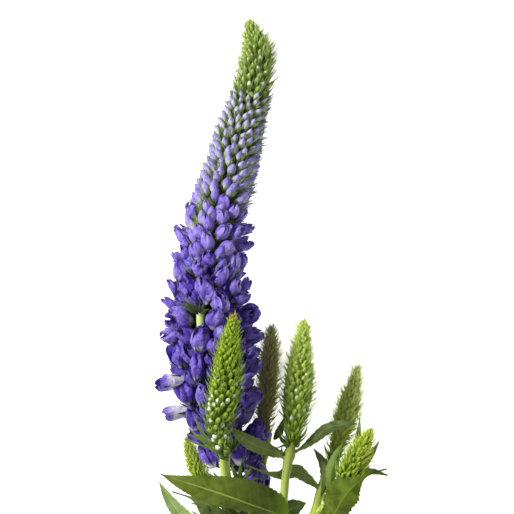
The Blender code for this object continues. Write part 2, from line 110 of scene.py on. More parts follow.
def plug(node: Any, inputs: Any) -> None:
    """Feeds a node.

    Args:
        node: The node.
        inputs: Sockets to link from and plain values, by name or number, or in the order of the inputs.
    """
    for name, value in inputs.items() if isinstance(inputs, dict) else enumerate(inputs):
        if isinstance(value, bpy.types.NodeSocket):
            node.id_data.links.new(value, node.inputs[name])
        else:
            node.inputs[name].default_value = value


def add_node(tree: Any, kind: str, inputs: Any, out: Any = 0, **settings: Any) -> Any:
    """Adds one shader node with its settings and links.

    Args:
        tree: The material's node tree.
        kind: The node's type name, less its first two words.
        inputs: What plug takes.
        out: Name or number of the output that is wanted.
        settings: Properties of the node.

    Returns:
        That output.
    """
    node = tree.nodes.new("ShaderNode" + kind)
    for name, value in settings.items():
        setattr(node, name, value)
    plug(node, inputs)
    return node.outputs[out]


@dataclass(frozen=True)
class Form:
    """A mesh that is modelled once and shaped anew for each copy.

    Across runs from -1 to 1, or holds the angle round a ball. Along runs from root to tip. Layer is 1 on
    the under side of a sheet and 0 elsewhere.
    """

    across: Array
    along: Array
    layer: Array
    faces: tuple[tuple[int, ...], ...]


class Bench:
    """Models the forms with Blender's own primitives and edit mode tools."""

    @staticmethod
    def clear_selection() -> None:
        """Deselects everything, because a new primitive and the frame come selected."""
        bpy.ops.object.select_all(action="DESELECT")

    @staticmethod
    def edit(*steps: Callable[[], Any]) -> None:
        """Works on the whole active mesh in edit mode, and turns its faces outwards.

        Args:
            steps: What is done to it first.
        """
        bpy.ops.object.mode_set(mode="EDIT")
        bpy.ops.mesh.select_all(action="SELECT")
        for step in (*steps, partial(bpy.ops.mesh.normals_make_consistent, inside=False)):
            step()
        bpy.ops.object.mode_set(mode="OBJECT")

    @staticmethod
    def take() -> tuple[Array, tuple[tuple[int, ...], ...]]:
        """Takes the active object apart.

        Returns:
            Its corners and its faces.
        """
        thing = bpy.context.object
        mesh = thing.data
        corners = np.array([vertex.co for vertex in mesh.vertices], float)
        faces = tuple(tuple(polygon.vertices) for polygon in mesh.polygons)
        bpy.data.objects.remove(thing)
        bpy.data.meshes.remove(mesh)
        return corners, faces

    @classmethod
    def sheet(cls, columns: int, rows: int) -> Form:
        """A thin closed sheet: a grid that is thickened in edit mode.

        Args:
            columns: Faces across.
            rows: Faces from root to tip.

        Returns:
            The form.
        """
        cls.clear_selection()
        bpy.ops.mesh.primitive_grid_add(x_subdivisions=columns, y_subdivisions=rows, size=2.0)
        cls.edit(partial(bpy.ops.mesh.solidify, thickness=1.0))
        corners, faces = cls.take()
        return Form(corners[:, 0], 0.5 + 0.5 * corners[:, 1], (corners[:, 2] < -0.5) * 1.0, faces)

    @classmethod
    def ball(cls, sides: int, rings: int) -> Form:
        """A closed ball with its poles at root and tip.

        Args:
            sides: Faces round it.
            rings: Bands of faces from pole to pole.

        Returns:
            The form.
        """
        cls.clear_selection()
        bpy.ops.mesh.primitive_uv_sphere_add(segments=sides, ring_count=rings, radius=1.0)
        corners, faces = cls.take()
        along = np.arccos(np.clip(-corners[:, 2], -1.0, 1.0)) / math.pi
        return Form(np.arctan2(corners[:, 1], corners[:, 0]), along, np.zeros(len(corners)), faces)


@dataclass(frozen=True)
class Stand:
    """Where a shape stands: its root, and the way of its axis at length one."""

    root: Array
    way: Array

    def up(self, distance: float) -> Array:
        """The point at a distance up its axis."""
        return self.root + self.way * distance

    def turned(self, corners: Array, spin: float) -> Array:
        """Stands a shape here that has its root at the origin and its axis up, with a turn in radians."""
        first = -around(self.way, -spin, UP if abs(self.way[2]) < 0.9 else np.array((0.0, 1.0, 0.0)))
        return self.root + corners @ np.stack([first, np.cross(self.way, first), self.way])


@dataclass(frozen=True)
class Station:
    """A place on a head: its axis point, the ways to the tip and out, half width, age and patch size."""

    centre: Array
    to_tip: Array
    outward: Array
    width: float
    age: float = 0.0
    patch: float = 0.0

    def stand(self, rise: float, length: float, sink: float = 0.0) -> Stand:
        """Stands a floret here so that its tip lies on the head's surface.

        Args:
            rise: How far it leans to the tip, in radians.
            length: Its length.
            sink: How far its tip stays below the surface.

        Returns:
            Its stand.
        """
        way = unit(self.outward * math.cos(rise) + self.to_tip * math.sin(rise))
        out = max(self.width - sink - length * math.cos(rise), 0.1)
        return Stand(self.centre - self.to_tip * length * math.sin(rise) + self.outward * out, way)


class Route:
    """A smooth line through given points, each with x, y, z and half width."""

    STRAY = 0.16  # How far a floret may leave its golden angle, in radians.

    def __init__(self, points: tuple[RoutePoint, ...], steps: int = 4) -> None:
        """Runs a Catmull-Rom curve through the points.

        Args:
            points: The points.
            steps: Places for each span.
        """
        given = np.array(points, float)
        ends = np.vstack([2.0 * given[0] - given[1], given, 2.0 * given[-1] - given[-2]])
        rows = []
        for i in range(len(given) - 1):
            before, start, end, after = ends[i : i + 4]
            for k in range(steps):
                s = k / steps
                curve = 2.0 * start + (end - before) * s
                curve = curve + (2.0 * before - 5.0 * start + 4.0 * end - after) * s ** 2
                rows.append(0.5 * (curve + (3.0 * start - before - 3.0 * end + after) * s ** 3))
        self.places = np.array([*rows, given[-1]])
        self.points = self.places[:, :3]
        self.tangents = np.gradient(self.points, axis=0)
        self.tangents /= np.linalg.norm(self.tangents, axis=1)[:, None]

    def at(self, share: Array) -> tuple[Array, Array, Array, Array]:
        """Reads the route.

        Args:
            share: For each corner, 0 at the first point and 1 at the last.

        Returns:
            Points, tangents, the ways aside and half widths.
        """
        where = np.clip(share, 0.0, 1.0) * (len(self.places) - 1)
        low = np.minimum(where.astype(int), len(self.places) - 2)
        part = (where - low)[:, None]
        rows = np.hstack([self.places, self.tangents])
        rows = rows[low] * (1.0 - part) + rows[low + 1] * part
        tangents = rows[:, 4:] / np.linalg.norm(rows[:, 4:], axis=1)[:, None]
        side = np.cross(tangents, UP)
        return rows[:, :3], tangents, side / np.linalg.norm(side, axis=1)[:, None], rows[:, 3]

    def tube(self, form: Form, share: Array, relief: Array) -> Array:
        """Wraps a ball round the route.

        Args:
            form: The ball.
            share: Where on the route each corner lies.
            relief: Each corner's radius as a share of the half width.

        Returns:
            The corners.
        """
        middle, tangent, side, width = self.at(share)
        out = side * np.cos(form.across)[:, None] + np.cross(tangent, side) * np.sin(form.across)[:, None]
        return middle + out * (width * relief)[:, None]

    def core(self, form: Form, share: float) -> Array:
        """Shapes the stalk inside a head.

        Args:
            form: A ball with many rings.
            share: Its radius as a share of the half width.

        Returns:
            The corners.
        """
        rounding = np.sqrt(np.clip(np.sin(math.pi * form.along) * 6.0, 0.0, 1.0))
        lumps = np.sin(5.0 * form.across + 40.0 * form.along) * np.sin(70.0 * form.along)
        return self.tube(form, form.along, share * rounding * (1.0 + 0.1 * lumps))

    def axis_at(self, height: float) -> Station:
        """The axis of a head where it passes a height.

        Args:
            height: A Y value that the route passes.

        Returns:
            The station, with outward to the right.
        """
        share = np.interp(-height, -self.points[:, 1], np.linspace(0.0, 1.0, len(self.points)))
        (centre,), (tangent,), (side,), (width,) = self.at(np.array([share]))
        return Station(centre, -tangent, -side, float(width))

    def florets(
        self, top: float, bottom: float, cell: Callable[[float], float], draw: random.Random,
        over: float = 0.0
    ) -> Iterator[Station]:
        """Places florets down a head, each a golden angle on from the last.

        Args:
            top: The Y where they are youngest.
            bottom: The Y where they are oldest.
            cell: Side of the patch that a floret takes, by its age.
            draw: Random numbers.
            over: How far they go on below the bottom.

        Yields:
            The stations from the tip down.
        """
        travelled = wanted = turn = 0.0
        for i in range(len(self.points) - 1):
            step = float(np.linalg.norm(self.points[i + 1] - self.points[i]))
            travelled += step
            while travelled >= wanted:
                share = 1.0 - (travelled - wanted) / step
                place = self.places[i] + (self.places[i + 1] - self.places[i]) * share
                centre, width, to_tip = place[:3], float(place[3]), -self.tangents[i]
                outward = around(to_tip, turn + draw.uniform(-self.STRAY, self.STRAY))
                age = min(max((top - float(centre[1])) / (top - bottom), 0.0), 1.0)
                patch = cell(age)
                if bottom - over <= centre[1] <= top:
                    yield Station(centre, to_tip, outward, width, age, patch)
                wanted += patch * patch / (math.tau * max(width * 0.8, patch * 0.35))
                turn += GOLDEN_ANGLE


def spun(form: Form, radius: Array, length: float, bow: float = 0.0) -> Array:
    """Shapes a ball by its radius at each corner, with its root at the origin, its axis up and a bow."""
    aside = radius * np.cos(form.across) + bow * length * form.along ** 2
    return np.stack([aside, radius * np.sin(form.across), form.along * length], axis=1)


def swept(form: Form, bend: Any, side: Array, half: Array, flat: float = 1.0) -> Array:
    """Shapes a ball along a bend.

    Args:
        form: A ball.
        bend: Start, pull and end of its middle line.
        side: The way across it, at length one.
        half: Half width at each corner.
        flat: Thickness as a share of the width.

    Returns:
        The corners.
    """
    start, pull, end = (np.array(point) for point in bend)
    t = form.along[:, None]
    middle = start * (1.0 - t) ** 2 + pull * 2.0 * t * (1.0 - t) + end * t ** 2
    normal = np.cross((pull - start) * (1.0 - t) + (end - pull) * t, side)
    normal /= np.maximum(np.linalg.norm(normal, axis=1), 1e-6)[:, None]
    lift = (np.sin(form.across) * half * flat)[:, None]
    return middle + side * (np.cos(form.across) * half)[:, None] + normal * lift


def blade_half(along: Array, half: float, belly: float = 0.6) -> Array:
    """Half width of a pointed blade that is widest before its middle."""
    return half * np.sin(math.pi * np.clip(along, 0.0, 1.0) ** belly) ** 0.9


@dataclass(frozen=True)
class Finish:
    """What a surface is really made of. Each kind of finish says what feeds its shader."""

    name: str

    def inputs(self, add: Callable[..., Any], values: list[Any]) -> dict[str, Any]:
        """Wires what feeds the shader.

        Args:
            add: Adds a node to the material's tree.
            values: Sockets of the corner values, in the order of their names.

        Returns:
            The shader's inputs by name.
        """
        raise NotImplementedError

    def make(self) -> bpy.types.Material:
        """Builds the material on the piece's own values.

        Returns:
            The material.
        """
        material = bpy.data.materials.new(self.name)
        material.use_nodes = True
        add = partial(add_node, material.node_tree)
        values = [add("Attribute", (), "Fac", attribute_name=name) for name in VALUE_NAMES]
        plug(material.node_tree.nodes["Principled BSDF"], self.inputs(add, values))
        return material


@dataclass
class Cluster:
    """A piece of many small shapes in one mesh, with values on its corners for the finishes."""

    name: str
    corners: list[Array] = field(default_factory=list)
    values: list[Array] = field(default_factory=list)
    faces: list[tuple[int, ...]] = field(default_factory=list)
    count: int = 0

    def add(self, form: Form, corners: Array, age: float, tone: float, pale: float = 0.0) -> None:
        """Adds one shaped copy of a form.

        Args:
            form: The form that was shaped.
            corners: Its new corners.
            age: From 0, young, to 1, old.
            tone: Its own shade, from 0 to 1.
            pale: How white its tip is, from 0 to 1.
        """
        own = (np.full(len(corners), value) for value in (age, tone, pale))
        self.values.append(np.stack([form.along, form.across, *own], axis=1))
        self.faces.extend(tuple(self.count + k for k in face) for face in form.faces)
        self.corners.append(corners)
        self.count += len(corners)

    def blade(
        self, form: Form, bend: Any, side: Array, half: float, flat: float, *looks: float,
        belly: float = 0.6
    ) -> None:
        """Adds a ball swept into a pointed blade or needle. Looks holds age, tone and pale."""
        self.add(form, swept(form, bend, side, blade_half(form.along, half, belly), flat), *looks)

    def make(self, finish: Finish, slot: Slot, *nodes: str, smooth: float = 60.0) -> None:
        """Makes the piece, dresses it and sets it on the frame.

        Args:
            finish: What it is made of.
            slot: The record's slot for it, which is not used.
            nodes: The frame's solids that it stands for.
            smooth: The largest angle in degrees that is shaded smooth.
        """
        corners = np.vstack(self.corners)
        soft = 0.7  # What would sink into the table is pressed flat on it, from this height down.
        low = corners[:, 2] < soft
        corners[low, 2] = soft * np.exp((corners[low, 2] - soft) / soft)
        mesh = bpy.data.meshes.new(self.name)
        mesh.from_pydata((corners * MM).tolist(), [], self.faces)
        values = np.vstack(self.values).astype(np.float32)
        for k, name in enumerate(VALUE_NAMES):
            mesh.attributes.new(name, "FLOAT", "POINT").data.foreach_set("value", values[:, k])
        mesh.materials.append(finish.make())
        thing = bpy.data.objects.new(self.name, mesh)
        bpy.context.scene.collection.objects.link(thing)
        Bench.clear_selection()
        thing.select_set(True)
        bpy.context.view_layer.objects.active = thing
        Bench.edit()
        bpy.ops.object.shade_smooth_by_angle(angle=math.radians(smooth))
        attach(thing, "root")
        if nodes:
            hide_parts(*nodes)
        LOG.info("%s: %d faces", self.name, len(self.faces))


@dataclass(frozen=True)
class Bloom:
    """One flower of the front: its middle, its width and length, its form and the way it points.

    Turn is the angle from straight up in the picture, in degrees, positive to the left. Facing is the
    share of its direction that points up off the table.
    """

    x: float
    y: float
    width: float
    length: float
    form: FlowerForm
    turn: float
    facing: float


CLOSED, CUP, OPEN, TUBE = FlowerForm
# Flowers of the tall spike that face up.
FRONT_BLOOMS = tuple(Bloom(*row) for row in (
    (-26.1, 25.8, 3, 3.9, CLOSED, 10, 0.4), (-18.9, 25.8, 3.6, 5.4, CLOSED, 0, 0.5),
    (-9.3, 25.2, 4.2, 4.8, CUP, -50, 0.05), (-14.1, 24, 3.9, 5.4, CLOSED, -38, 0.35),
    (-24.9, 22.5, 5.1, 4.8, OPEN, 20, 0.35), (-28.2, 21, 3.3, 5.1, OPEN, 35, 0.15),
    (-18.9, 21, 4.2, 4.5, CLOSED, 0, 0.6), (-12, 20.1, 5.1, 7.2, CUP, -15, 0.4),
    (-9.3, 20.1, 3.3, 4.8, CLOSED, -30, -0.1), (-21.6, 17.7, 4.5, 5.1, CUP, 0, 0.6),
    (-27, 16.8, 4.2, 6.9, CLOSED, 5, 0.3), (-15.6, 15.6, 4.2, 5.7, CLOSED, -12, 0.5),
    (-11.4, 12.9, 4.2, 5.4, CLOSED, -15, 0.3), (-8.1, 12.9, 3, 4.2, OPEN, -45, 0),
    (-24.9, 12.3, 4.5, 5.7, CUP, 10, 0.5), (-19.5, 11.1, 5.4, 6.9, CUP, -3, 0.5),
    (-29.1, 12.3, 3, 5.1, CUP, 25, 0), (-9.6, 9.3, 4.2, 6, CLOSED, -65, 0.2),
    (-15.3, 7.5, 5.1, 6, CUP, -10, 0.55), (-27.4, 3, 6.6, 7.2, OPEN, 80, 0.45),
    (-30.3, 7.5, 2.7, 4.5, OPEN, 35, 0), (-17.2, 3, 5.4, 6, CLOSED, 0, 0.6),
    (-7.8, 3.9, 5.1, 6, CUP, -45, 0.5), (-29.4, -2.1, 5.1, 6.3, CUP, 100, 0.25),
    (-21.6, -3.6, 5.4, 6.3, CLOSED, 0, 0.5), (-17.4, -4.8, 3.9, 5.1, CLOSED, -5, 0.5),
    (-6.9, -2.1, 4.5, 5.4, CUP, -60, 0.45), (-27.6, -8.1, 6.6, 7.8, CUP, 15, 0.45),
    (-22.2, -12, 4.8, 7.2, CUP, 0, 0.5), (-15, -1.5, 4.2, 5.4, CLOSED, -10, 0.5),
    (-6.9, -7.2, 4.5, 5.4, CUP, -40, 0.3), (-6.3, -11.4, 5.7, 6.6, CUP, -50, 0.3),
    (-8.1, -15.9, 4.5, 5.4, CUP, -50, 0.2), (-7.2, -21.3, 6, 8.1, CUP, -40, 0.1),
    (-30.6, -15.9, 5.6, 8.4, TUBE, 101, 0.1), (-25.5, -19.5, 6.3, 6.6, CUP, 15, 0.3),
    (-20.7, -20.1, 4.2, 6, CUP, -5, 0.5), (-29.1, -24.9, 4.5, 8.1, TUBE, 91, 0.05),
    (-23.1, -27.6, 4.8, 6.9, CLOSED, 10, 0.35), (-18.2, -38.2, 5.6, 6.6, CUP, 18, 0.35),
    (-9.9, -37.5, 5.4, 6, CUP, 5, 0.4), (-5.1, -32.4, 6.6, 6.9, CUP, -40, 0.35),
    (-3.9, -43.2, 6, 7.2, CUP, -165, 0.3), (-24, 35.1, 3.9, 6.3, CUP, 12, 0.4),
    (-19.5, 36.6, 2.4, 4.5, CLOSED, 5, 0.4), (-15, 33.6, 3.6, 4.5, CUP, -5, 0.6),
    (-11.7, 35.1, 3.3, 4.2, CLOSED, -30, 0.35), (-18.9, 31.5, 3.3, 5.1, CLOSED, 2, 0.4),
    (-21.6, 29.1, 3.9, 4.8, CLOSED, 5, 0.5), (-26.1, 27.9, 4.5, 6, CUP, 15, 0.2),
    (-15, 29.1, 3.9, 5.1, CLOSED, -30, 0.4), (-11.4, 28.5, 4.2, 5.4, CUP, -35, 0.3),
    (-7.8, 30, 3, 4.5, CLOSED, -50, 0), (-17.1, 40.2, 2.4, 4.5, CLOSED, -5, 0.4),
    (-9.3, 33.9, 3, 4.5, CLOSED, -50, 0.1), (-14.4, 37.6, 3.5, 5.4, CLOSED, -14, 0.45),
    (-21.6, 24.6, 3.6, 5, CLOSED, 20, 0.4),
))

# Routes: x, y, z and half width at each point, from a spike's tip down, or from a stalk's head down.
SPIKE_PEAK = (-6.6, 90.6, 3, 1)
MAIN_SPIKE = (
    (-7.2, 93.3, 2.2, 0.9), (-6, 89.1, 3.4, 3.3), (-4.6, 83.7, 4.8, 5.1), (-5, 77.1, 5.4, 5.5),
    (-6.6, 69.6, 6.1, 6.5), (-9.2, 61.5, 7.1, 7.5), (-11.4, 52.2, 7.7, 8.2), (-13.8, 43.8, 8.2, 8.7),
    (-16.2, 35.7, 8.7, 9.2), (-17.8, 26.7, 9.3, 9.9), (-18.9, 18.3, 9.7, 10.3), (-18.8, 9.3, 10.9, 11.7),
    (-18.3, -0.3, 11.7, 12.6), (-17.2, -9.9, 11.9, 12.9), (-15.9, -18.3, 11.5, 12.2),
    (-14.1, -26.7, 10.7, 11), (-11.7, -35.1, 9.8, 9.4), (-9, -43.5, 8.8, 7.4), (-7.8, -47.1, 8.5, 5.6),
)
# The Y values where the lilac buds begin, where the open flowers begin and where they end.
BUDS_START = 71.6
BLOOMS_START = 20.0
SPIKE_FOOT = -46.0
# Bends: start, pull and end. The dark bracts where the bare stalk shows, and the stalk itself.
FAN = (
    ((-21.9, 4.6, 21.8), (-25.2, 6.6, 24), (-29, 8.8, 21.6)),
    ((-21.9, 4.8, 22), (-25, 7.4, 24.2), (-27.6, 9.8, 22.4)),
    ((-21.8, 4.4, 21.6), (-24.6, 5.8, 23.8), (-27.6, 7.2, 22.2)),
    ((-21.8, 4.9, 22.2), (-24, 7.4, 24.6), (-25.6, 9.6, 23.4)),
    ((-21.7, 4.9, 22.2), (-22.6, 6.8, 24.8), (-23.4, 8.6, 24.2)),
    ((-21.5, 4.8, 22.2), (-20.8, 6.6, 24.6), (-19.8, 8.2, 24)),
    ((-21.4, 4.5, 22), (-20, 5.8, 24.2), (-18.6, 6.2, 23.6)),
    ((-21.6, 4.8, 22.2), (-21.8, 6.4, 24.4), (-21.6, 7.8, 24.2)),
)
BARE_BEND = ((-19.6, 14, 12), (-22.8, 3.4, 22), (-20.2, -9, 12))
MAIN_STEM = (
    (-7.8, -44, 8.6, 1.5), (-7.8, -47.8, 8.3, 1.5), (-6, -53.7, 6.4, 1.6), (-3.3, -63.3, 4.2, 1.6),
    (-0.9, -73.8, 2.8, 1.8), (1.4, -94, 1.9, 1.9),
)
STALKS = (
    ((-14.4, -33.2, 26.4, 1.1), (-14.1, -35.4, 26.2, 1.7), (-14.1, -37.4, 25.2, 1.6),
     (-14.1, -39.6, 23.4, 1.4), (-14, -42.3, 21.2, 1.45), (-12.3, -48.9, 15.8, 1.4),
     (-9, -55.8, 9.6, 1.4), (-3.6, -63.3, 4.4, 1.3)),
    ((-0.9, -31.3, 2.8, 1), (-2.2, -38.5, 1.6, 1), (-3.5, -44.5, 1.6, 1), (-4.2, -51, 1.9, 1),
     (-3.9, -61.5, 3.8, 1)),
    ((6.1, -32.6, 15.5, 1.3), (5.6, -35.4, 15.5, 1.35), (5.2, -37.6, 15.4, 1.75), (4.7, -40, 15.2, 1.4),
     (4, -45, 14.4, 1.2), (3.6, -49.8, 12.6, 1.2), (2.4, -58.8, 8.4, 1.3), (-1.6, -70.3, 3.4, 1.3)),
    ((18.6, -38.6, 5.4, 1.1), (16.4, -43.8, 6.2, 1.2), (15.2, -47.4, 6.5, 1.5), (14, -50.6, 6.5, 1.25),
     (12.6, -55.8, 6.2, 1.3), (8.4, -64.8, 4.6, 1.3), (-0.3, -75.8, 2.7, 1.2)),
    ((21, -46.6, 10.6, 1.1), (18, -51.3, 8.6, 1.1), (13, -55.5, 6.4, 1.1)),
    ((-21.8, -44.7, 2.8, 1), (-19.5, -50.4, 3, 1), (-15, -57.3, 3.2, 1), (-2.4, -67.5, 3.6, 1)),
)


@dataclass(frozen=True)
class Table:
    """The plain pale surface that the stem lies on."""

    side: float = 4.0
    colour: str = "#FFFFFF"
    glow: float = 0.95

    def build(self) -> None:
        """Lays a large sheet at height zero and dresses it."""
        Bench.clear_selection()
        bpy.ops.mesh.primitive_plane_add(size=self.side)
        sheet = bpy.context.object
        sheet.name = "table"
        material = bpy.data.materials.new("matt_white_board")
        material.use_nodes = True
        white = linear(self.colour)
        plug(material.node_tree.nodes["Principled BSDF"], {
            "Base Color": white, "Roughness": 0.9, "Emission Color": white, "Emission Strength": self.glow})
        sheet.data.materials.append(material)


@dataclass(frozen=True)
class Lamp:
    """A soft square lamp aimed at the stem."""

    name: str
    place: Point
    side: float
    power: float
    colour: str

    def build(self) -> None:
        """Hangs the lamp, turned to the middle of the stem."""
        light = bpy.data.lights.new(self.name, "AREA")
        light.size = self.side
        light.energy = self.power
        light.color = linear(self.colour)[:3]
        lamp = bpy.data.objects.new(self.name, light)
        lamp.location = self.place
        lamp.rotation_mode = "QUATERNION"
        lamp.rotation_quaternion = (-Vector(self.place)).to_track_quat("-Z", "Y")
        bpy.context.scene.collection.objects.link(lamp)


@dataclass(frozen=True)
class Studio:
    """Camera, lamps and sky."""

    camera_height: float = 3.0
    frame_width: float = 0.1542
    middle: tuple[float, float] = (-0.0045, 0.0216)
    subject_height: float = 0.011
    farthest: float = 10.0
    sky: float = 0.19
    lamps: tuple[Lamp, ...] = (
        Lamp("key_lamp", (-1.35, 0.6, 1.2), 0.4, 44.0, "#FFFDF8"),
        Lamp("fill_lamp", (0.9, -0.5, 1.8), 1.4, 3.0, "#F6F8FF"),
    )

    def build(self) -> None:
        """Sets the camera straight above the stem, the lamps and an even pale sky."""
        scene = bpy.context.scene
        camera = bpy.data.cameras.new("camera")
        camera.lens = camera.sensor_width * (self.camera_height - self.subject_height) / self.frame_width
        camera.clip_end = self.farthest
        holder = bpy.data.objects.new("camera", camera)
        holder.location = (*self.middle, self.camera_height)
        scene.collection.objects.link(holder)
        scene.camera = holder
        scene.world = bpy.data.worlds.new("studio")
        scene.world.use_nodes = True
        plug(scene.world.node_tree.nodes["Background"], ((1.0, 1.0, 1.0, 1.0), self.sky))
        scene.view_settings.view_transform = "Standard"
        for lamp in self.lamps:
            lamp.build()


@dataclass(frozen=True)
class PetalFinish(Finish):
    """A fresh petal: matt, faintly veined and velvety, so the light lies on it as a pale lilac bloom."""

    throat: str
    deep: str
    middle: str
    bright: str
    colour_from: float
    colour_to: float
    drift: float
    ripe: str
    ripeness: float = 0.0
    blotch_mm: float = 2.2
    crease_mm: float = 2.2

    def inputs(self, add: Callable[..., Any], values: list[Any]) -> dict[str, Any]:
        """Wires the colour from throat to rim, the pale and dark ribs and the creases.

        Args:
            add: Adds a node to the material's tree.
            values: Sockets of the corner values.

        Returns:
            The shader's inputs by name.
        """
        along, across, age, tone, pale = values
        place = add("TexCoord", (), "Object")
        blotch = add("TexNoise", {"Vector": place, "Scale": 1.0 / (self.blotch_mm * MM)})
        shade = add("Math", (tone, blotch), operation="ADD")
        ripe = add("Math", (age, self.ripeness), operation="MULTIPLY")
        grid = add("CombineXYZ", (across, along, tone))
        grid = add("VectorMath", (grid, (1.6, 0.7, 9.0)), operation="MULTIPLY")
        ribs = add("TexNoise", {"Vector": grid, "Scale": 2.6, "Detail": 4.0})
        edge = add("MapRange", (along, 0.72, 1.0, 0.0, 0.55), interpolation_type="SMOOTHSTEP")
        body = linear(self.middle)
        for share, hue in (
            (add("MapRange", (shade, 0.55, 1.5)), self.bright), (ripe, self.ripe), (edge, self.deep),
            (add("MapRange", (ribs, 0.55, 0.75, 0.0, 0.4)), self.bright),
            (add("MapRange", (ribs, 0.46, 0.34, 0.0, 0.4)), self.deep),
        ):
            body = add("Mix", {0: share, 6: body, 7: linear(hue)}, 2, data_type="RGBA")
        reach = add("Math", (pale, 0.5, self.colour_from), operation="MULTIPLY_ADD")
        limit = add("Math", (age, self.drift, self.colour_to), operation="MULTIPLY_ADD")
        limit = add("Math", (pale, 0.55, limit), operation="MULTIPLY_ADD")
        coloured = add("MapRange", (along, reach, limit), interpolation_type="SMOOTHSTEP")
        crease = add("TexNoise", {
            "Vector": place, "Scale": 1.0 / (self.crease_mm * MM), "Detail": 4.0, "Distortion": 1.2})
        return {
            "Base Color": add("Mix", {0: coloured, 6: linear(self.throat), 7: body}, 2, data_type="RGBA"),
            "Normal": add("Bump", {"Height": crease, "Strength": 0.8, "Distance": 0.9 * MM}),
            "Roughness": 0.4, "IOR": 1.42, "Specular IOR Level": 0.5, "Sheen Weight": 0.12,
            "Sheen Roughness": 0.4, "Sheen Tint": linear("#D0C6F6"), "Subsurface Weight": 0.12,
            "Subsurface Radius": (0.5, 0.35, 1.0), "Subsurface Scale": 0.6 * MM}


@dataclass(frozen=True)
class GreenFinish(Finish):
    """Green buds and bracts: a waxy skin with fine hairs, yellower when young and white at some tips."""

    young: str
    old: str
    shade: str
    tip: str
    apex: str = ""
    white: str = "#E4EAD8"

    def inputs(self, add: Callable[..., Any], values: list[Any]) -> dict[str, Any]:
        """Wires the colour by age, with painted shade at the root, lighter at the end and white on a pale
        tip.

        Args:
            add: Adds a node to the material's tree.
            values: Sockets of the corner values.

        Returns:
            The shader's inputs by name.
        """
        along, _, age, tone, pale = values
        white = add("MapRange", (along, 0.62, 0.8), interpolation_type="SMOOTHSTEP")
        colour = linear(self.young)
        for share, hue in (
            (age, self.old), (add("MapRange", (age, 0.0, 0.04, 1.0, 0.0)), self.apex or self.young),
            # Painted shade: each bud, sepal and bract is darkened towards the shade colour at its root.
            (add("MapRange", (along, 0.1, 0.6, 0.75, 0.0)), self.shade),
            (add("MapRange", (along, 0.6, 1.0, 0.0, 0.8)), self.tip),
            (add("MapRange", (tone, 0.0, 0.45, 0.45, 0.0)), self.shade),
            (add("Math", (white, pale), operation="MULTIPLY"), self.white),
        ):
            colour = add("Mix", {0: share, 6: colour, 7: linear(hue)}, 2, data_type="RGBA")
        return {
            "Base Color": colour, "Roughness": 0.6, "IOR": 1.36, "Specular IOR Level": 0.15,
            "Sheen Weight": 0.05, "Subsurface Weight": 0.1, "Subsurface Radius": (0.6, 1.0, 0.3),
            "Subsurface Scale": 0.5 * MM}


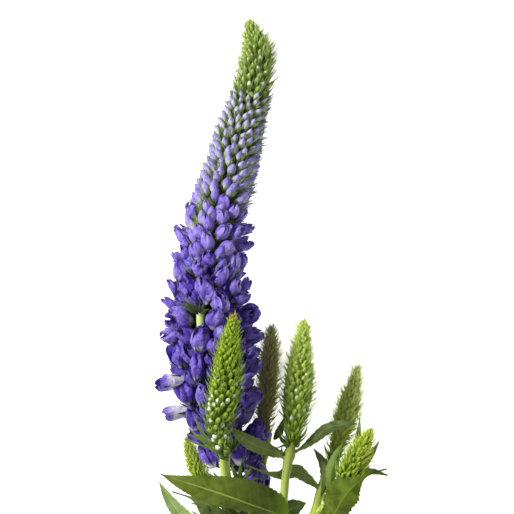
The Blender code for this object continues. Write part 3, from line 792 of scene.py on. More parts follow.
@dataclass
class FlowerMaker:
    """Shapes flowers from petals and sepals, each petal crumpled in its own way."""

    petals: Cluster
    greens: Cluster
    seed: int
    columns: int = 13
    rows: int = 11
    petal_count: int = 4
    thickness: float = 0.14
    young_light: float = 0.35
    sepal_half: float = 0.5

    def __post_init__(self) -> None:
        """Models the petal and sepal forms once."""
        self.draw = random.Random(self.seed)
        self.petal = Bench.sheet(self.columns, self.rows)
        self.sepal = Bench.ball(4, 5)

    def petal_corners(self, shape: FlowerShape, width: float, length: float, turn: float) -> Array:
        """Shapes one petal round the flower's axis.

        Args:
            shape: The flower's proportions.
            width: Its width.
            length: Its length.
            turn: The petal's place round the axis in radians.

        Returns:
            The petal's corners, with the flower's root at the origin and its axis up.
        """
        u, v, uniform = self.petal.across, self.petal.along, self.draw.uniform
        belly = shape.belly + uniform(-0.08, 0.08)
        mouth = shape.mouth * uniform(0.5, 1.4)
        closing = np.clip((v - belly) / (1.0 - belly), 0.0, 1.0) * math.pi / 2.0
        opening = np.clip(v / belly, 0.0, 1.0) * math.pi / 2.0
        below = shape.root + (1.0 - shape.root) * np.sin(opening) ** 1.2
        radius = np.where(v < belly, below, mouth + (1.0 - mouth) * np.cos(closing))
        height = np.where(v < belly, v, belly + (1.0 - belly) * np.sin(closing))
        phase = [uniform(0.0, math.tau) for _ in range(4)]
        # Folds of four widths run up the petal, and its rim is frilled.
        waves = np.sin(5.0 * u - 4.0 * v + phase[1]) * 0.35
        waves = waves + np.abs(np.sin(2.1 * u + 1.2 * v + phase[0])) - 0.6
        waves = waves + 0.3 * np.sin(8.0 * u + 3.0 * v + phase[3]) * np.sin(9.0 * v + phase[0])
        waves = waves + 0.6 * np.abs(np.sin(4.3 * u - 3.4 * v + phase[2])) - 0.4
        frill = np.sin(9.0 * u + phase[2]) * v ** 3 * np.abs(u)
        radius = np.maximum(radius + 0.06 * u + shape.crumple * (waves * v + 0.8 * frill), 0.04)
        narrowing = np.sqrt(np.clip(1.0 - np.clip((v - 0.42) / 0.6, 0.0, 1.0) ** 3.8, 0.06, 1.0))
        angle = turn + math.radians(shape.span) * u * narrowing + uniform(-0.25, 0.25) * v
        lift = height * length * uniform(0.76, 1.08)
        lift = lift + shape.crumple * width * 0.5 * np.sin(4.0 * u + phase[3]) * v ** 2
        under = self.petal.layer * self.thickness
        out = radius * width / 2.0 - under
        return np.stack([out * np.cos(angle), out * np.sin(angle), lift - under * np.sin(closing)], axis=1)

    def flower(self, stand: Stand, width: float, length: float, form: FlowerForm, age: float) -> None:
        """Adds one flower with its calyx.

        Args:
            stand: Where it leaves its stalk and the way it points.
            width: Its width at the belly.
            length: From root to mouth.
            form: How far it has opened.
            age: 0 at the top of the spike's flowers and 1 at their foot.
        """
        shape, uniform = form.value, self.draw.uniform
        spin = uniform(0.0, math.tau)
        tone = 0.15 + 0.7 * self.draw.random() + self.young_light * max(0.0, 1.0 - 4.0 * age)
        flat = uniform(0.8, 1.0)
        pale = 1.0 if form is TUBE else uniform(0.0, 0.45) * age
        bow = uniform(-0.16, 0.16) * length
        for k in range(self.petal_count):
            turn = math.tau * k / self.petal_count + uniform(-0.25, 0.25)
            corners = self.petal_corners(shape, width, length, turn)
            corners[:, 1] *= flat
            corners[:, 0] += bow * (corners[:, 2] / length) ** 2
            petal_tone = min(max(tone + uniform(-0.26, 0.26), 0.0), 1.0)
            self.petals.add(self.petal, stand.turned(corners, spin), age, petal_tone, pale)
        self.calyx(stand, width * shape.root * 0.5, width * 0.46, length * 0.4, spin, age)

    def calyx(
        self, stand: Stand, neck: float, belly: float, reach: float, spin: float, age: float
    ) -> None:
        """Adds four pointed sepals that hold a flower or bud.

        Args:
            stand: The flower's stand.
            neck: Its radius at its root.
            belly: Its radius at the belly.
            reach: How far up the sepals go.
            spin: Turn round the axis.
            age: The age that the finish reads.
        """
        half = blade_half(self.sepal.along, min(self.sepal_half, belly * 0.42))
        for k in range(4):
            angle = math.tau * (k + 0.5) / 4 + self.draw.uniform(-0.2, 0.2)
            out = np.array((math.cos(angle), math.sin(angle), 0.0))
            spread = belly * self.draw.uniform(1.0, 1.35) + 0.1
            bend = (out * neck * 0.4 - UP * 0.1 * reach, out * (belly * 1.12) + UP * reach * 0.3,
                    out * spread + UP * reach * self.draw.uniform(0.85, 1.25))
            blade = swept(self.sepal, bend, np.cross(UP, out), half, 0.35)
            self.greens.add(self.sepal, stand.turned(blade, spin), age, self.draw.random())


@dataclass(frozen=True)
class GreenHead:
    """How a green head is covered: unopened buds, each among its sepals and above its needle bracts.

    Fine and coarse are the spacing at its top and foot, proud how far the needles stand out, white the
    share of pale tipped buds, slender how narrow the buds are, inset how far they stay below the route's
    half width and rise their lean to the tip in degrees.
    """

    fine: float
    coarse: float
    proud: float
    white: float
    slender: float
    inset: float
    rise: float = 50.0
    steepest: float = 85.0

    def cell(self, age: float) -> float:
        """Side of the patch that a floret takes."""
        return self.fine + (self.coarse - self.fine) * age ** 1.3

    def cover(
        self, stations: Iterator[Station], greens: Cluster, bead: Form, needle: Form, draw: random.Random
    ) -> None:
        """Sets a bud with three sepals and two needle bracts on each station.

        Args:
            stations: The places on the head.
            greens: The piece that takes them.
            bead: Form of a bud.
            needle: Form of a sepal or bract.
            draw: Random numbers.
        """
        for station in stations:
            age, patch, to_tip = station.age, station.patch, station.to_tip
            rise = math.radians(self.rise) + max(0.0, 3.0 - station.width) * 0.2 + draw.uniform(-0.1, 0.1)
            length = patch * (1.4 + 0.9 * self.slender)
            width = patch * (0.8 - 0.25 * self.slender)
            inset = min(self.inset, station.width * 0.3)
            stand = station.stand(min(rise, math.radians(self.steepest)), length, inset)
            bud = spun(bead, 0.5 * width * np.sin(math.pi * bead.along ** 1.1) ** 0.7, length)
            spin = draw.uniform(0.0, math.tau)
            pale = 1.0 if age > 0.45 and draw.random() < self.white else 0.0
            greens.add(bead, stand.turned(bud, spin), age, draw.uniform(0.3, 1.0), pale)
            for k in range(3):
                out = around(stand.way, -math.tau * (k + 0.3) / 3 - spin, NEARLY_UP)
                spread = out * width * draw.uniform(0.35, 0.8)
                end = stand.up(length * draw.uniform(0.9, 1.25)) + spread
                bend = (stand.root + out * width * 0.15, stand.up(length * 0.4) + out * width * 0.8, end)
                greens.blade(needle, bend, np.cross(stand.way, out), width * 0.2, 0.5, age, draw.random())
            across = unit(np.cross(stand.way, NEARLY_UP))
            surface = station.centre + station.outward * (station.width - inset)
            for half in (0.13 + width * 0.09, 0.15):
                sway = across * draw.uniform(-0.7, 0.7) * patch
                pull = surface + sway * 0.5 - to_tip * length * 0.75 + station.outward * 0.35 * self.proud
                end = surface + sway + to_tip * min(patch, 2.1) * draw.uniform(0.1, 0.8)
                proud = self.proud * draw.uniform(0.45, 1.15) * min(1.0, 0.3 + station.width / 4.0)
                end = end + station.outward * proud * np.array((1.0, 1.0, 0.4))
                bend = (stand.root - to_tip * width * 0.5, pull, end)
                greens.blade(needle, bend, across, half, 0.7, age, draw.uniform(0.4, 0.9), 0.1, belly=0.45)


@dataclass
class MainSpike:
    """The tall spike: a core, crumpled flowers below, lilac buds above them and a green tip."""

    seed: int = 31
    core_share: float = 0.42
    green_core_share: float = 0.64
    size: float = 1.07
    lie: float = 0.6
    back_cell: float = 4.6
    back_rise: float = 42.0
    back_width: float = 5.4
    back_length: float = 7.4
    bud_rise: float = 48.0
    bract_half: float = 0.34
    stalklet_half: float = 0.45
    # The Y where the flowers are youngest, and how far down from it they are oldest.
    youngest: float = 34.0
    ageing: float = 60.0
    # No flowers grow left of this X and below this Y, where only green shows.
    low_greens: tuple[float, float] = (-7.0, -39.5)
    # Gaps that show between the flowers: x, y, reach, and the height from which they are kept free.
    openings: tuple[RoutePoint, ...] = (
        (-21.7, 3.3, 3.4, 13.0), (-6.9, -27.6, 2.6, -99.0), (-8.7, -31.2, 2.6, -99.0),
        (-3.0, -39.6, 2.6, -99.0))

    def __post_init__(self) -> None:
        """Reads the route and models the forms."""
        self.route = Route(MAIN_SPIKE)
        self.draw = random.Random(self.seed)
        self.bud = Bench.ball(10, 8)
        self.bead = Bench.ball(6, 5)
        self.needle = Bench.ball(3, 5)
        self.sepal = Bench.ball(4, 7)
        self.stalk = Bench.ball(14, 60)

    def stand_of(self, bloom: Bloom, length: float) -> Stand:
        """Where a listed flower stands.

        Args:
            bloom: The flower.
            length: Its full length.

        Returns:
            Its stand, with its middle on the spike's surface.
        """
        axis = self.route.axis_at(bloom.y)
        aside = bloom.x - axis.centre[0]
        radius = max(axis.width - 0.45 * bloom.width, abs(aside))
        height = axis.centre[2] + math.sqrt(max(radius * radius - aside * aside, 0.0))
        facing = bloom.facing * self.lie
        flat = math.sqrt(1.0 - facing ** 2)
        turn = math.radians(bloom.turn)
        way = np.array((-math.sin(turn) * flat, math.cos(turn) * flat, facing))
        return Stand(np.array((bloom.x, bloom.y, height)) - way * length * 0.5, way)

    def front_flowers(self, maker: FlowerMaker) -> Array:
        """Grows the listed flowers.

        Args:
            maker: The maker that shapes them.

        Returns:
            Their middles.
        """
        middles = []
        for bloom in FRONT_BLOOMS:
            grown = self.size if bloom.facing > 0.25 else 1.0
            length = bloom.length * grown
            stand = self.stand_of(bloom, length)
            self.grow(maker, stand, bloom.width * grown, length, bloom.form, bloom.y)
            middles.append(stand.up(length * 0.5))
        return np.array(middles)

    def back_flowers(self, maker: FlowerMaker, front: Array) -> None:
        """Grows flowers by the golden angle, between and behind those in front.

        Args:
            maker: The maker that shapes them.
            front: The middles of the flowers in front.
        """
        for station in self.route.florets(BLOOMS_START, SPIKE_FOOT, lambda age: self.back_cell, self.draw):
            rise = math.radians(self.back_rise) + self.draw.uniform(-0.15, 0.15)
            width = self.back_width * self.draw.uniform(0.85, 1.1)
            length = min(self.back_length * self.draw.uniform(0.85, 1.1), station.width * 0.8)
            sink, clear = (2.2, 2.2) if station.outward[2] > 0.3 else (0.5, 3.0)
            stand = station.stand(rise, length, sink)
            middle = stand.up(length * 0.5)
            near = np.linalg.norm((front - middle)[:, :2], axis=1).min() < clear
            hidden = near and station.outward[2] > -0.2
            low = middle[0] < self.low_greens[0] and middle[1] < self.low_greens[1]
            if hidden or low or any(math.dist(middle[:2], (x, y)) < reach and middle[2] > free
                                    for x, y, reach, free in self.openings):
                continue
            form = self.draw.choice((CLOSED, CUP, CUP))
            self.grow(maker, stand, width, length, form, float(middle[1]))

    def blooms(self) -> None:
        """The open part: flowers, dark bracts at the gap between them and the stalk that shows there."""
        petals = Cluster("spike_flower_petals")
        greens = Cluster("spike_flower_sepals")
        behind = Cluster("spike_flower_petals_behind")
        front = self.front_flowers(FlowerMaker(petals, greens, self.seed + 1))
        self.back_flowers(FlowerMaker(behind, greens, self.seed + 4, 6, 6), front)
        petals.make(VIOLET, Slot.PETALS, "main_spike_blooms")
        # The flowers behind get a darker copy of the violet finish: painted shade.
        behind.make(SHADED_VIOLET, Slot.PETALS)
        for bend in FAN:
            side = unit(np.cross(np.array(bend[2]) - np.array(bend[0]), UP))
            greens.blade(self.sepal, bend, side, 0.45, 0.5, 0.8, 0.5 * self.draw.random())
        greens.make(SPIKE_GREEN, Slot.GREENS)
        half = (1.75 - 0.8 * self.stalk.along) * np.sqrt(np.sin(math.pi * self.stalk.along))
        bare = swept(self.stalk, BARE_BEND, np.array((1.0, 0.1, 0.0)), half)
        inside = Route(MAIN_SPIKE[8:-1]).core(self.stalk, self.core_share)
        self.stalk_piece("spike_stalk_inside", inside, SHADED_STALK, 0.5, 0.3)
        self.stalk_piece("spike_stalk_bare", bare, BARE_STALK, 0.5, 1.0)

    def stalk_piece(self, name: str, corners: Array, finish: Finish, age: float, tone: float) -> None:
        """Makes a piece of one shaped stalk.

        Args:
            name: The piece's name.
            corners: The stalk's corners.
            finish: What it is made of.
            age: The age that the finish reads.
            tone: Its shade.
        """
        piece = Cluster(name)
        piece.add(self.stalk, corners, age, tone)
        piece.make(finish, Slot.STEM)

    def age_of(self, height: float) -> float:
        """How far down the flowers a height lies, from 0 to 1."""
        return min(max((self.youngest - height) / self.ageing, 0.0), 1.0)

    def grow(
        self, maker: FlowerMaker, stand: Stand, width: float, length: float, form: FlowerForm,
        height: float
    ) -> None:
        """Adds a flower, the short stalk that joins it to the spike's axis and the bracts below it.

        Args:
            maker: The maker that shapes it.
            stand: Where it stands.
            width: Its width.
            length: Its length.
            form: How far it has opened.
            height: The Y that gives its age.
        """
        maker.flower(stand, width, length, form, self.age_of(height))
        axis = self.route.axis_at(float(stand.root[1]) - 1.5)
        inward = stand.root - axis.centre
        start = axis.centre + inward / max(np.linalg.norm(inward), 1e-3) * axis.width * 0.3
        end = stand.up(0.4)
        age = self.age_of(float(stand.root[1]))
        side = unit(np.cross(end - start, UP + np.array((0.02, 0.01, 0.0))))
        half = self.stalklet_half * np.sqrt(np.sin(math.pi * maker.sepal.along))
        stalklet = swept(maker.sepal, (start, (start + end) / 2.0, end), side, half)
        maker.greens.add(maker.sepal, stalklet, age, 0.6)
        for _ in range(2):
            self.bract(maker.greens, stand, length * self.draw.uniform(0.6, 1.0), age)

    def bract(self, greens: Cluster, stand: Stand, reach: float, age: float) -> None:
        """Adds a narrow bract below a flower.

        Args:
            greens: The piece that takes it.
            stand: The flower's stand.
            reach: The bract's length.
            age: The age that the finish reads.
        """
        across = unit(np.cross(stand.way, NEARLY_UP))
        below = unit(np.array((0.0, -1.0, 0.0)) + 0.3 * stand.way)
        end = stand.up(reach) + below * 1.2 + across * self.draw.uniform(-1.4, 1.4)
        bend = (stand.root + below * 0.3, stand.up(reach * 0.5) + below * 1.2, end)
        greens.blade(self.needle, bend, across, self.bract_half, 0.5, age, self.draw.random())

    def buds(self) -> None:
        """The lilac buds, small and pale above, larger and violet below."""
        petals = Cluster("spike_bud_petals")
        greens = Cluster("spike_bud_sepals")
        maker = FlowerMaker(petals, greens, self.seed + 2)
        front = np.array([(bloom.x, bloom.y) for bloom in FRONT_BLOOMS])
        t = self.bud.along
        # The petals of a closed bud wrap round each other in three seams.
        turns = 3.0 * self.bud.across / math.tau + 0.6 * t
        profile = np.sin(math.pi * np.clip(t, 0.0, 1.0) ** 1.2) ** 0.9 * (1.0 - 0.35 * t ** 3)
        profile = profile * (1.0 + 0.2 * (turns - np.floor(turns) - 0.5))
        cells = (BUDS_START, BLOOMS_START, lambda age: 2.3 + 1.9 * age ** 1.4)
        for station in self.route.florets(*cells, self.draw, 2.0):
            age = station.age
            width = (1.3 + 3.0 * age ** 1.05) * self.draw.uniform(0.85, 1.15)
            rise = math.radians(self.bud_rise) + self.draw.uniform(-0.12, 0.12)
            length = width * 1.6 + 1.5
            stand = station.stand(rise, length)
            near = np.linalg.norm(front - stand.up(length * 0.5)[:2], axis=1).min() < 2.2
            hidden = near and station.outward[2] > 0.0
            if not hidden:
                spin = self.draw.uniform(0.0, math.tau)
                bud = stand.turned(spun(self.bud, 0.5 * width * profile, length, 0.1), spin)
                petals.add(self.bud, bud, age, self.draw.random())
                maker.calyx(stand, width * 0.2, width * 0.56, length * 0.75, spin, 0.3 + 0.3 * age)
            bracts, least, most, shade = (4, 0.5, 0.9, 0.5) if hidden else (3, 0.75, 1.2, 0.2 + 0.3 * age)
            for _ in range(bracts):
                self.bract(greens, stand, length * self.draw.uniform(least, most), shade)
        petals.make(LILAC, Slot.BUDS, "main_spike_buds")
        greens.make(BUD_GREEN, Slot.GREENS)
        inside = Route(MAIN_SPIKE[3:11]).core(self.stalk, self.green_core_share)
        self.stalk_piece("spike_stalk_upper", inside, SHADED_GREEN, 0.8, 0.3)

    def tip(self) -> None:
        """The green tip: pointed bracts that end in fine needles, with round buds between them below."""
        greens = Cluster("spike_tip_bracts")
        head = GreenHead(1.2, 2.6, 2.2, 0.3, 0.4, 0.6, 56.0)
        stations = self.route.florets(93.3, BUDS_START, head.cell, self.draw)
        head.cover(stations, greens, self.bead, self.needle, self.draw)
        inner = Route((SPIKE_PEAK, *MAIN_SPIKE[1:6]))
        greens.add(self.stalk, inner.core(self.stalk, self.green_core_share), 0.5, 0.3)
        for aside in (-1.7, -1.1, -0.5, 0.1, 0.7, 1.4, 2.2):
            end = (-6.5 + 0.35 * aside, 93.9 - 0.6 * abs(aside), 2.9)
            bend = ((-6.5 + aside, 90.4, 3.2), (-6.6 + 0.8 * aside, 92.2, 3.5), end)
            greens.blade(self.sepal, bend, np.array((1.0, 0.0, 0.0)), 0.22, 0.6, 0.0, 0.9)
        greens.make(TIP_GREEN, Slot.GREENS, "main_spike_tip")


@dataclass(frozen=True)
class SideSpike:
    """A short green head on its own stalk, with a collar of longer bracts round its foot."""

    name: str
    points: tuple[RoutePoint, ...]
    seed: int
    finish: GreenFinish
    head: GreenHead
    crown: float
    collar: int = 4

    def build(self, bead: Form, needle: Form) -> None:
        """Covers the head and dresses it.

        Args:
            bead: Form of a bud.
            needle: Form of a bract.
        """
        first, second = (np.array(point[:3]) for point in self.points[:2])
        down = (second - first) / float(np.linalg.norm(second - first))
        # The head ends in a small dome, and its core in one that is set below it.
        dome = [(*(first + down * below), half)
                for below, half in ((0.0, 0.3), (0.9, self.crown), (1.9, 0.5), (2.8, self.crown))]
        route = Route((*dome[:2], *self.points[1:]))
        draw = random.Random(self.seed)
        greens = Cluster(self.name + "_florets")
        foot, to_tip = route.points[-1], -route.tangents[-1]
        stations = route.florets(float(route.points[0][1]), float(foot[1]) + 0.6, self.head.cell, draw)
        self.head.cover(stations, greens, bead, needle, draw)
        for k in range(self.collar):
            out = around(to_tip, math.tau * (k + draw.uniform(0.1, 0.9)) / self.collar)
            start = foot - to_tip * draw.uniform(0.0, 1.0) + out * 0.6
            reach = draw.uniform(3.2, 5.0)
            pull = start + out * reach * 0.7 + to_tip * reach * 0.2
            bend = (start, pull, start + out * reach * 0.8 + to_tip * reach * 0.8)
            greens.blade(needle, bend, unit(np.cross(out, to_tip)), 0.6, 0.4, 1.0, draw.uniform(0.3, 0.8))
        form = Bench.ball(10, 24)
        greens.add(form, Route((*dome[2:], *self.points[1:])).core(form, 0.6), 0.6, 0.2)
        greens.make(self.finish, Slot.GREENS, self.name)


# Petals show a pale throat, violet bodies and darker rims; young buds are paler and greyer.
VIOLET = PetalFinish(
    "fresh_violet_petal", "#E0DCF2", "#2A167C", "#5A3CBA", "#A896F0", 0.0, 0.2, 0.1, "#482CA2", 0.6)
# A darker copy of the violet, with a greyer throat, is painted shade for the flowers behind those in front.
SHADED_VIOLET = PetalFinish(
    "shaded_violet_petal", "#A89EC8", "#221066", "#44289A", "#7460C8", 0.0, 0.24, 0.1, "#3C2890", 0.25)
LILAC = PetalFinish(
    "young_lilac_bud", "#E6EADA", "#6450C0", "#A296E2", "#D6CEF6", 0.3, 1.0, -0.5, "#6E5AD0", 0.85)
# Greens run from yellow green at a head's tip to a duller green at its foot.
SPIKE_GREEN = GreenFinish("sepal_green", "#566438", "#4A5634", "#2A3020", "#64724A")
BUD_GREEN = GreenFinish("bud_sepal_green", "#94A868", "#6E8054", "#566440", "#AABC8C")
TIP_GREEN = GreenFinish("tip_bract_green", "#9EB64C", "#6E883A", "#3A4E14", "#CCDC98")
BRIGHT_GREEN = GreenFinish("bright_bud_green", "#98B804", "#667E3A", "#283A06", "#B8D058", "#B4763C")
FRESH_GREEN = GreenFinish("fresh_bud_green", "#C8DC40", "#648C04", "#34500A", "#D4E670")
BACK_GREEN = GreenFinish("back_bud_green", "#E4EE94", "#AABA44", "#4A500E", "#C0CC74")
LEFT_GREEN = GreenFinish("left_bud_green", "#B8C454", "#88AA18", "#3C540A", "#BCD060")
# The spike lying behind the others takes greyer, duller olive greens: painted shade.
SHADED_OLIVE_GREEN = GreenFinish("shaded_bud_green", "#CCC888", "#96905A", "#4A4622", "#C0BE94")
SPRING_GREEN = GreenFinish("spring_bud_green", "#D6EA78", "#76980C", "#304A04", "#C8DE70")
SMALL_BRACT = GreenFinish("small_bract_green", "#6A7C3C", "#61733A", "#44542A", "#748648")
SHADED_STALK = GreenFinish("stalk_in_shade", "#3A3448", "#34304A", "#262038", "#3A3448")
SHADED_GREEN = GreenFinish("green_stalk_in_shade", "#5C683E", "#546038", "#404A2A", "#5C683E")
BARE_STALK = GreenFinish("bare_stalk_green", "#C8DC8C", "#C8DC8C", "#B4CA74", "#C8DC8C")
STALK_GREEN = GreenFinish("stalk_green", "#C0D070", "#AEC052", "#8EA43A", "#B4C866")

SIDE_SPIKES = (
    SideSpike("side_spike_front", (
        (-11.1, 5.1, 30.2, 0.8), (-12.3, -2.7, 30.1, 3.3), (-13.2, -11.1, 30, 4.7),
        (-14.1, -18.3, 29.8, 5.1), (-15.3, -24.3, 29.2, 4.9), (-16.1, -28.5, 28.4, 3.9),
        (-15.3, -32.4, 27.6, 3.4), (-14.1, -36, 26.8, 2)),
        21, BRIGHT_GREEN, GreenHead(1.3, 2.9, 1.6, 0.28, 0, 0.8), 1.4, 7),
    # This spike's greens are painted shade.
    SideSpike("side_spike_behind", (
        (0, 1.8, 3, 0.8), (-0.5, -4.8, 3.2, 2.7), (-0.9, -12.3, 3.3, 3.2), (-1.5, -19.8, 3.3, 3.2),
        (-2.2, -25.8, 3.1, 2.7), (-2.4, -30.9, 2.8, 1.5)),
        22, SHADED_OLIVE_GREEN, GreenHead(1.1, 1.7, 2, 0, 1, 0.4), 1.4),
    SideSpike("side_spike_middle", (
        (9.6, 3.3, 14, 0.8), (9.3, -1.8, 14.4, 2.7), (8.7, -7.8, 14.8, 3.9), (8.1, -15.3, 15.2, 4.9),
        (7.3, -22.8, 15.4, 4.6), (6.6, -28.8, 15.5, 3.3), (6, -33.3, 15.5, 1.8)),
        23, SPRING_GREEN, GreenHead(1.05, 2.8, 1.9, 0.22, 0.2, 0.7), 1.6, 7),
    SideSpike("side_spike_right_back", (
        (26.1, -10.5, 2.8, 0.8), (24.9, -15.9, 3, 2.5), (23.4, -21.9, 3.2, 3.8),
        (21.6, -28.8, 3.6, 3.9), (19.8, -34.2, 4.6, 2.7), (18.6, -38.1, 5.3, 1.6)),
        24, BACK_GREEN, GreenHead(1.15, 2.1, 1.7, 0, 0.5, 0.7), 1.2),
    SideSpike("side_spike_right_front", (
        (30, -29.4, 12.5, 0.8), (28.5, -32.7, 12.2, 2.4), (26, -37.5, 11.8, 3.9),
        (23.8, -42.3, 11.4, 4.3), (21.6, -46.2, 10.8, 3.2)),
        25, FRESH_GREEN, GreenHead(0.95, 2.1, 1.8, 0, 0.6, 0.5), 1.3),
    SideSpike("side_spike_left", (
        (-25.7, -31.6, 2.6, 0.7), (-24.9, -35.4, 2.8, 1.9), (-23.4, -39.6, 2.8, 2.8),
        (-21.8, -44.1, 2.8, 2.8)),
        26, LEFT_GREEN, GreenHead(0.85, 1.55, 1.4, 0, 1, 0.4), 1.1),
)


@dataclass(frozen=True)
class LeafFinish(Finish):
    """A leaf blade: waxy, with a pale midrib, fine side veins and patches of darker green."""

    blade: str
    dark: str
    rib: str
    light: str
    root: str = ""
    cell_mm: float = 3.0
    grain_mm: float = 0.35

    def inputs(self, add: Callable[..., Any], values: list[Any]) -> dict[str, Any]:
        """Wires the patches, the veins, the midrib, a lighter root where one is set, and the fine grain.

        Args:
            add: Adds a node to the material's tree.
            values: Sockets of the corner values.

        Returns:
            The shader's inputs by name.
        """
        along, across, age, _, _ = values
        place = add("TexCoord", (), "Object")
        cells = add("TexNoise", {"Vector": place, "Scale": 1.0 / (self.cell_mm * MM), "Detail": 4.0})
        away = add("Math", (across,), operation="ABSOLUTE")
        rib = add("MapRange", (away, 0.015, 0.07, 1.0, 0.0), interpolation_type="SMOOTHSTEP")
        fade = add("MapRange", (along, 0.5, 1.0, 1.0, 0.35))
        glow = 1.0 if self.root else 0.0
        colour = linear(self.blade)
        for share, hue in (
            (add("MapRange", (cells, 0.35, 0.65)), self.dark),
            (add("Math", (age, 0.28), operation="MULTIPLY"), self.light),
            (add("Math", (rib, fade), operation="MULTIPLY"), self.rib),
            (add("MapRange", (along, 0.04, 0.2, glow, 0.0)), self.root or self.blade),
        ):
            colour = add("Mix", {0: share, 6: colour, 7: linear(hue)}, 2, data_type="RGBA")
        grain = add("TexNoise", {"Vector": place, "Scale": 1.0 / (self.grain_mm * MM)})
        bump = add("Bump", {"Height": grain, "Strength": 0.3, "Distance": 0.1 * MM})
        return {
            "Base Color": colour, "Normal": bump, "Roughness": 0.5, "IOR": 1.36,
            "Specular IOR Level": 0.25, "Subsurface Weight": 0.08,
            "Subsurface Radius": (0.6, 1.0, 0.3), "Subsurface Scale": 0.4 * MM}


@dataclass(frozen=True)
class Leaf:
    """One toothed blade on its route from root to tip.

    Fold is in degrees. Foot is the least width at the root and bite the depth of the teeth, both as shares
    of the half width. Drawn narrows the outer half. Lower widens the side below the midrib, by its first
    value and its second times the square of the way along. Peak and point shape the outline.
    """

    name: str
    points: tuple[Point, ...]
    half: float
    fold: float
    finish: LeafFinish
    teeth: int = 12
    foot: float = 0.35
    drawn: float = 0.0
    bite: float = 0.2
    lower: tuple[float, float] = (1.0, 0.0)
    peak: float = 0.8
    point: float = 0.8
    thickness: float = 0.35
    columns: int = 12
    rows_to_tooth: int = 4

    def build(self) -> None:
        """Shapes the blade along its route and dresses it."""
        form = Bench.sheet(self.columns, self.teeth * self.rows_to_tooth)
        u, v = form.across, form.along
        middle, tangent, side, _ = Route(tuple((*point, 0.0) for point in self.points), 8).at(v)
        profile = np.sin(math.pi * np.clip(v, 0.004, 0.992) ** self.peak) ** self.point
        profile = np.maximum(profile, self.foot * (1.0 - v / 0.3))
        profile = profile * (1.0 - self.drawn * np.clip((v - 0.5) / 0.25, 0.0, 1.0))
        # Saw teeth along the margin, which leave the root plain.
        margin = 1.0 + self.bite * (0.5 - (v * self.teeth) % 1.0) * np.abs(u) ** 6 * (v > 0.1)
        half = self.half * profile * margin * np.where(u < 0.0, self.lower[0] + self.lower[1] * v * v, 1.0)
        half = np.maximum(half, 0.25)
        bend = math.radians(self.fold)
        # Side veins slant out from the midrib to the teeth, and both lie in grooves.
        branch = (v * self.teeth * 0.4 - np.abs(u) * 0.9) % 1.0
        vein = np.clip(1.0 - np.abs(branch - 0.5) / 0.1, 0.0, 1.0) * (np.abs(u) > 0.06)
        ripple = 0.03 * self.half * np.sin(v * 17.0 + np.sign(u)) * np.abs(u) ** 2
        groove = -0.12 * np.exp(-((u / 0.09) ** 2)) - 0.05 * vein
        lift = np.abs(u) * half * math.sin(bend) + ripple + groove - form.layer * self.thickness
        corners = middle + side * (u * half * math.cos(bend))[:, None]
        corners = corners + np.cross(side, tangent) * lift[:, None]
        blade = Cluster(self.name + "_blade")
        blade.add(form, corners, 0.0, 0.5)
        blade.values[0][:, VALUE_NAMES.index("age")] = vein
        blade.make(self.finish, Slot.LEAF, self.name, smooth=35.0)


# Leaf skins are waxy: blade, darker patches, midrib, side veins and, on one, a bright root.
FRONT_LEAF = LeafFinish("waxy_leaf", "#6E8030", "#566820", "#A8C058", "#90A25C", "#86AC20")
RIGHT_LEAF = LeafFinish("broad_leaf", "#6A7E22", "#485A14", "#78902C", "#7C9040")
DARK_LEAF = LeafFinish("shaded_leaf", "#74864C", "#5A6A3A", "#93A560", "#84966A")
PALE_LEAF = LeafFinish("pale_leaf", "#A2B67A", "#8AA05C", "#C6D898", "#B8C890")
BLUISH_LEAF = LeafFinish("bluish_leaf", "#789042", "#5E7A30", "#98AC5C", "#8CA45C")
EDGE_LEAF = LeafFinish("narrow_leaf", "#98A866", "#84964E", "#B4C082", "#A4B47A")

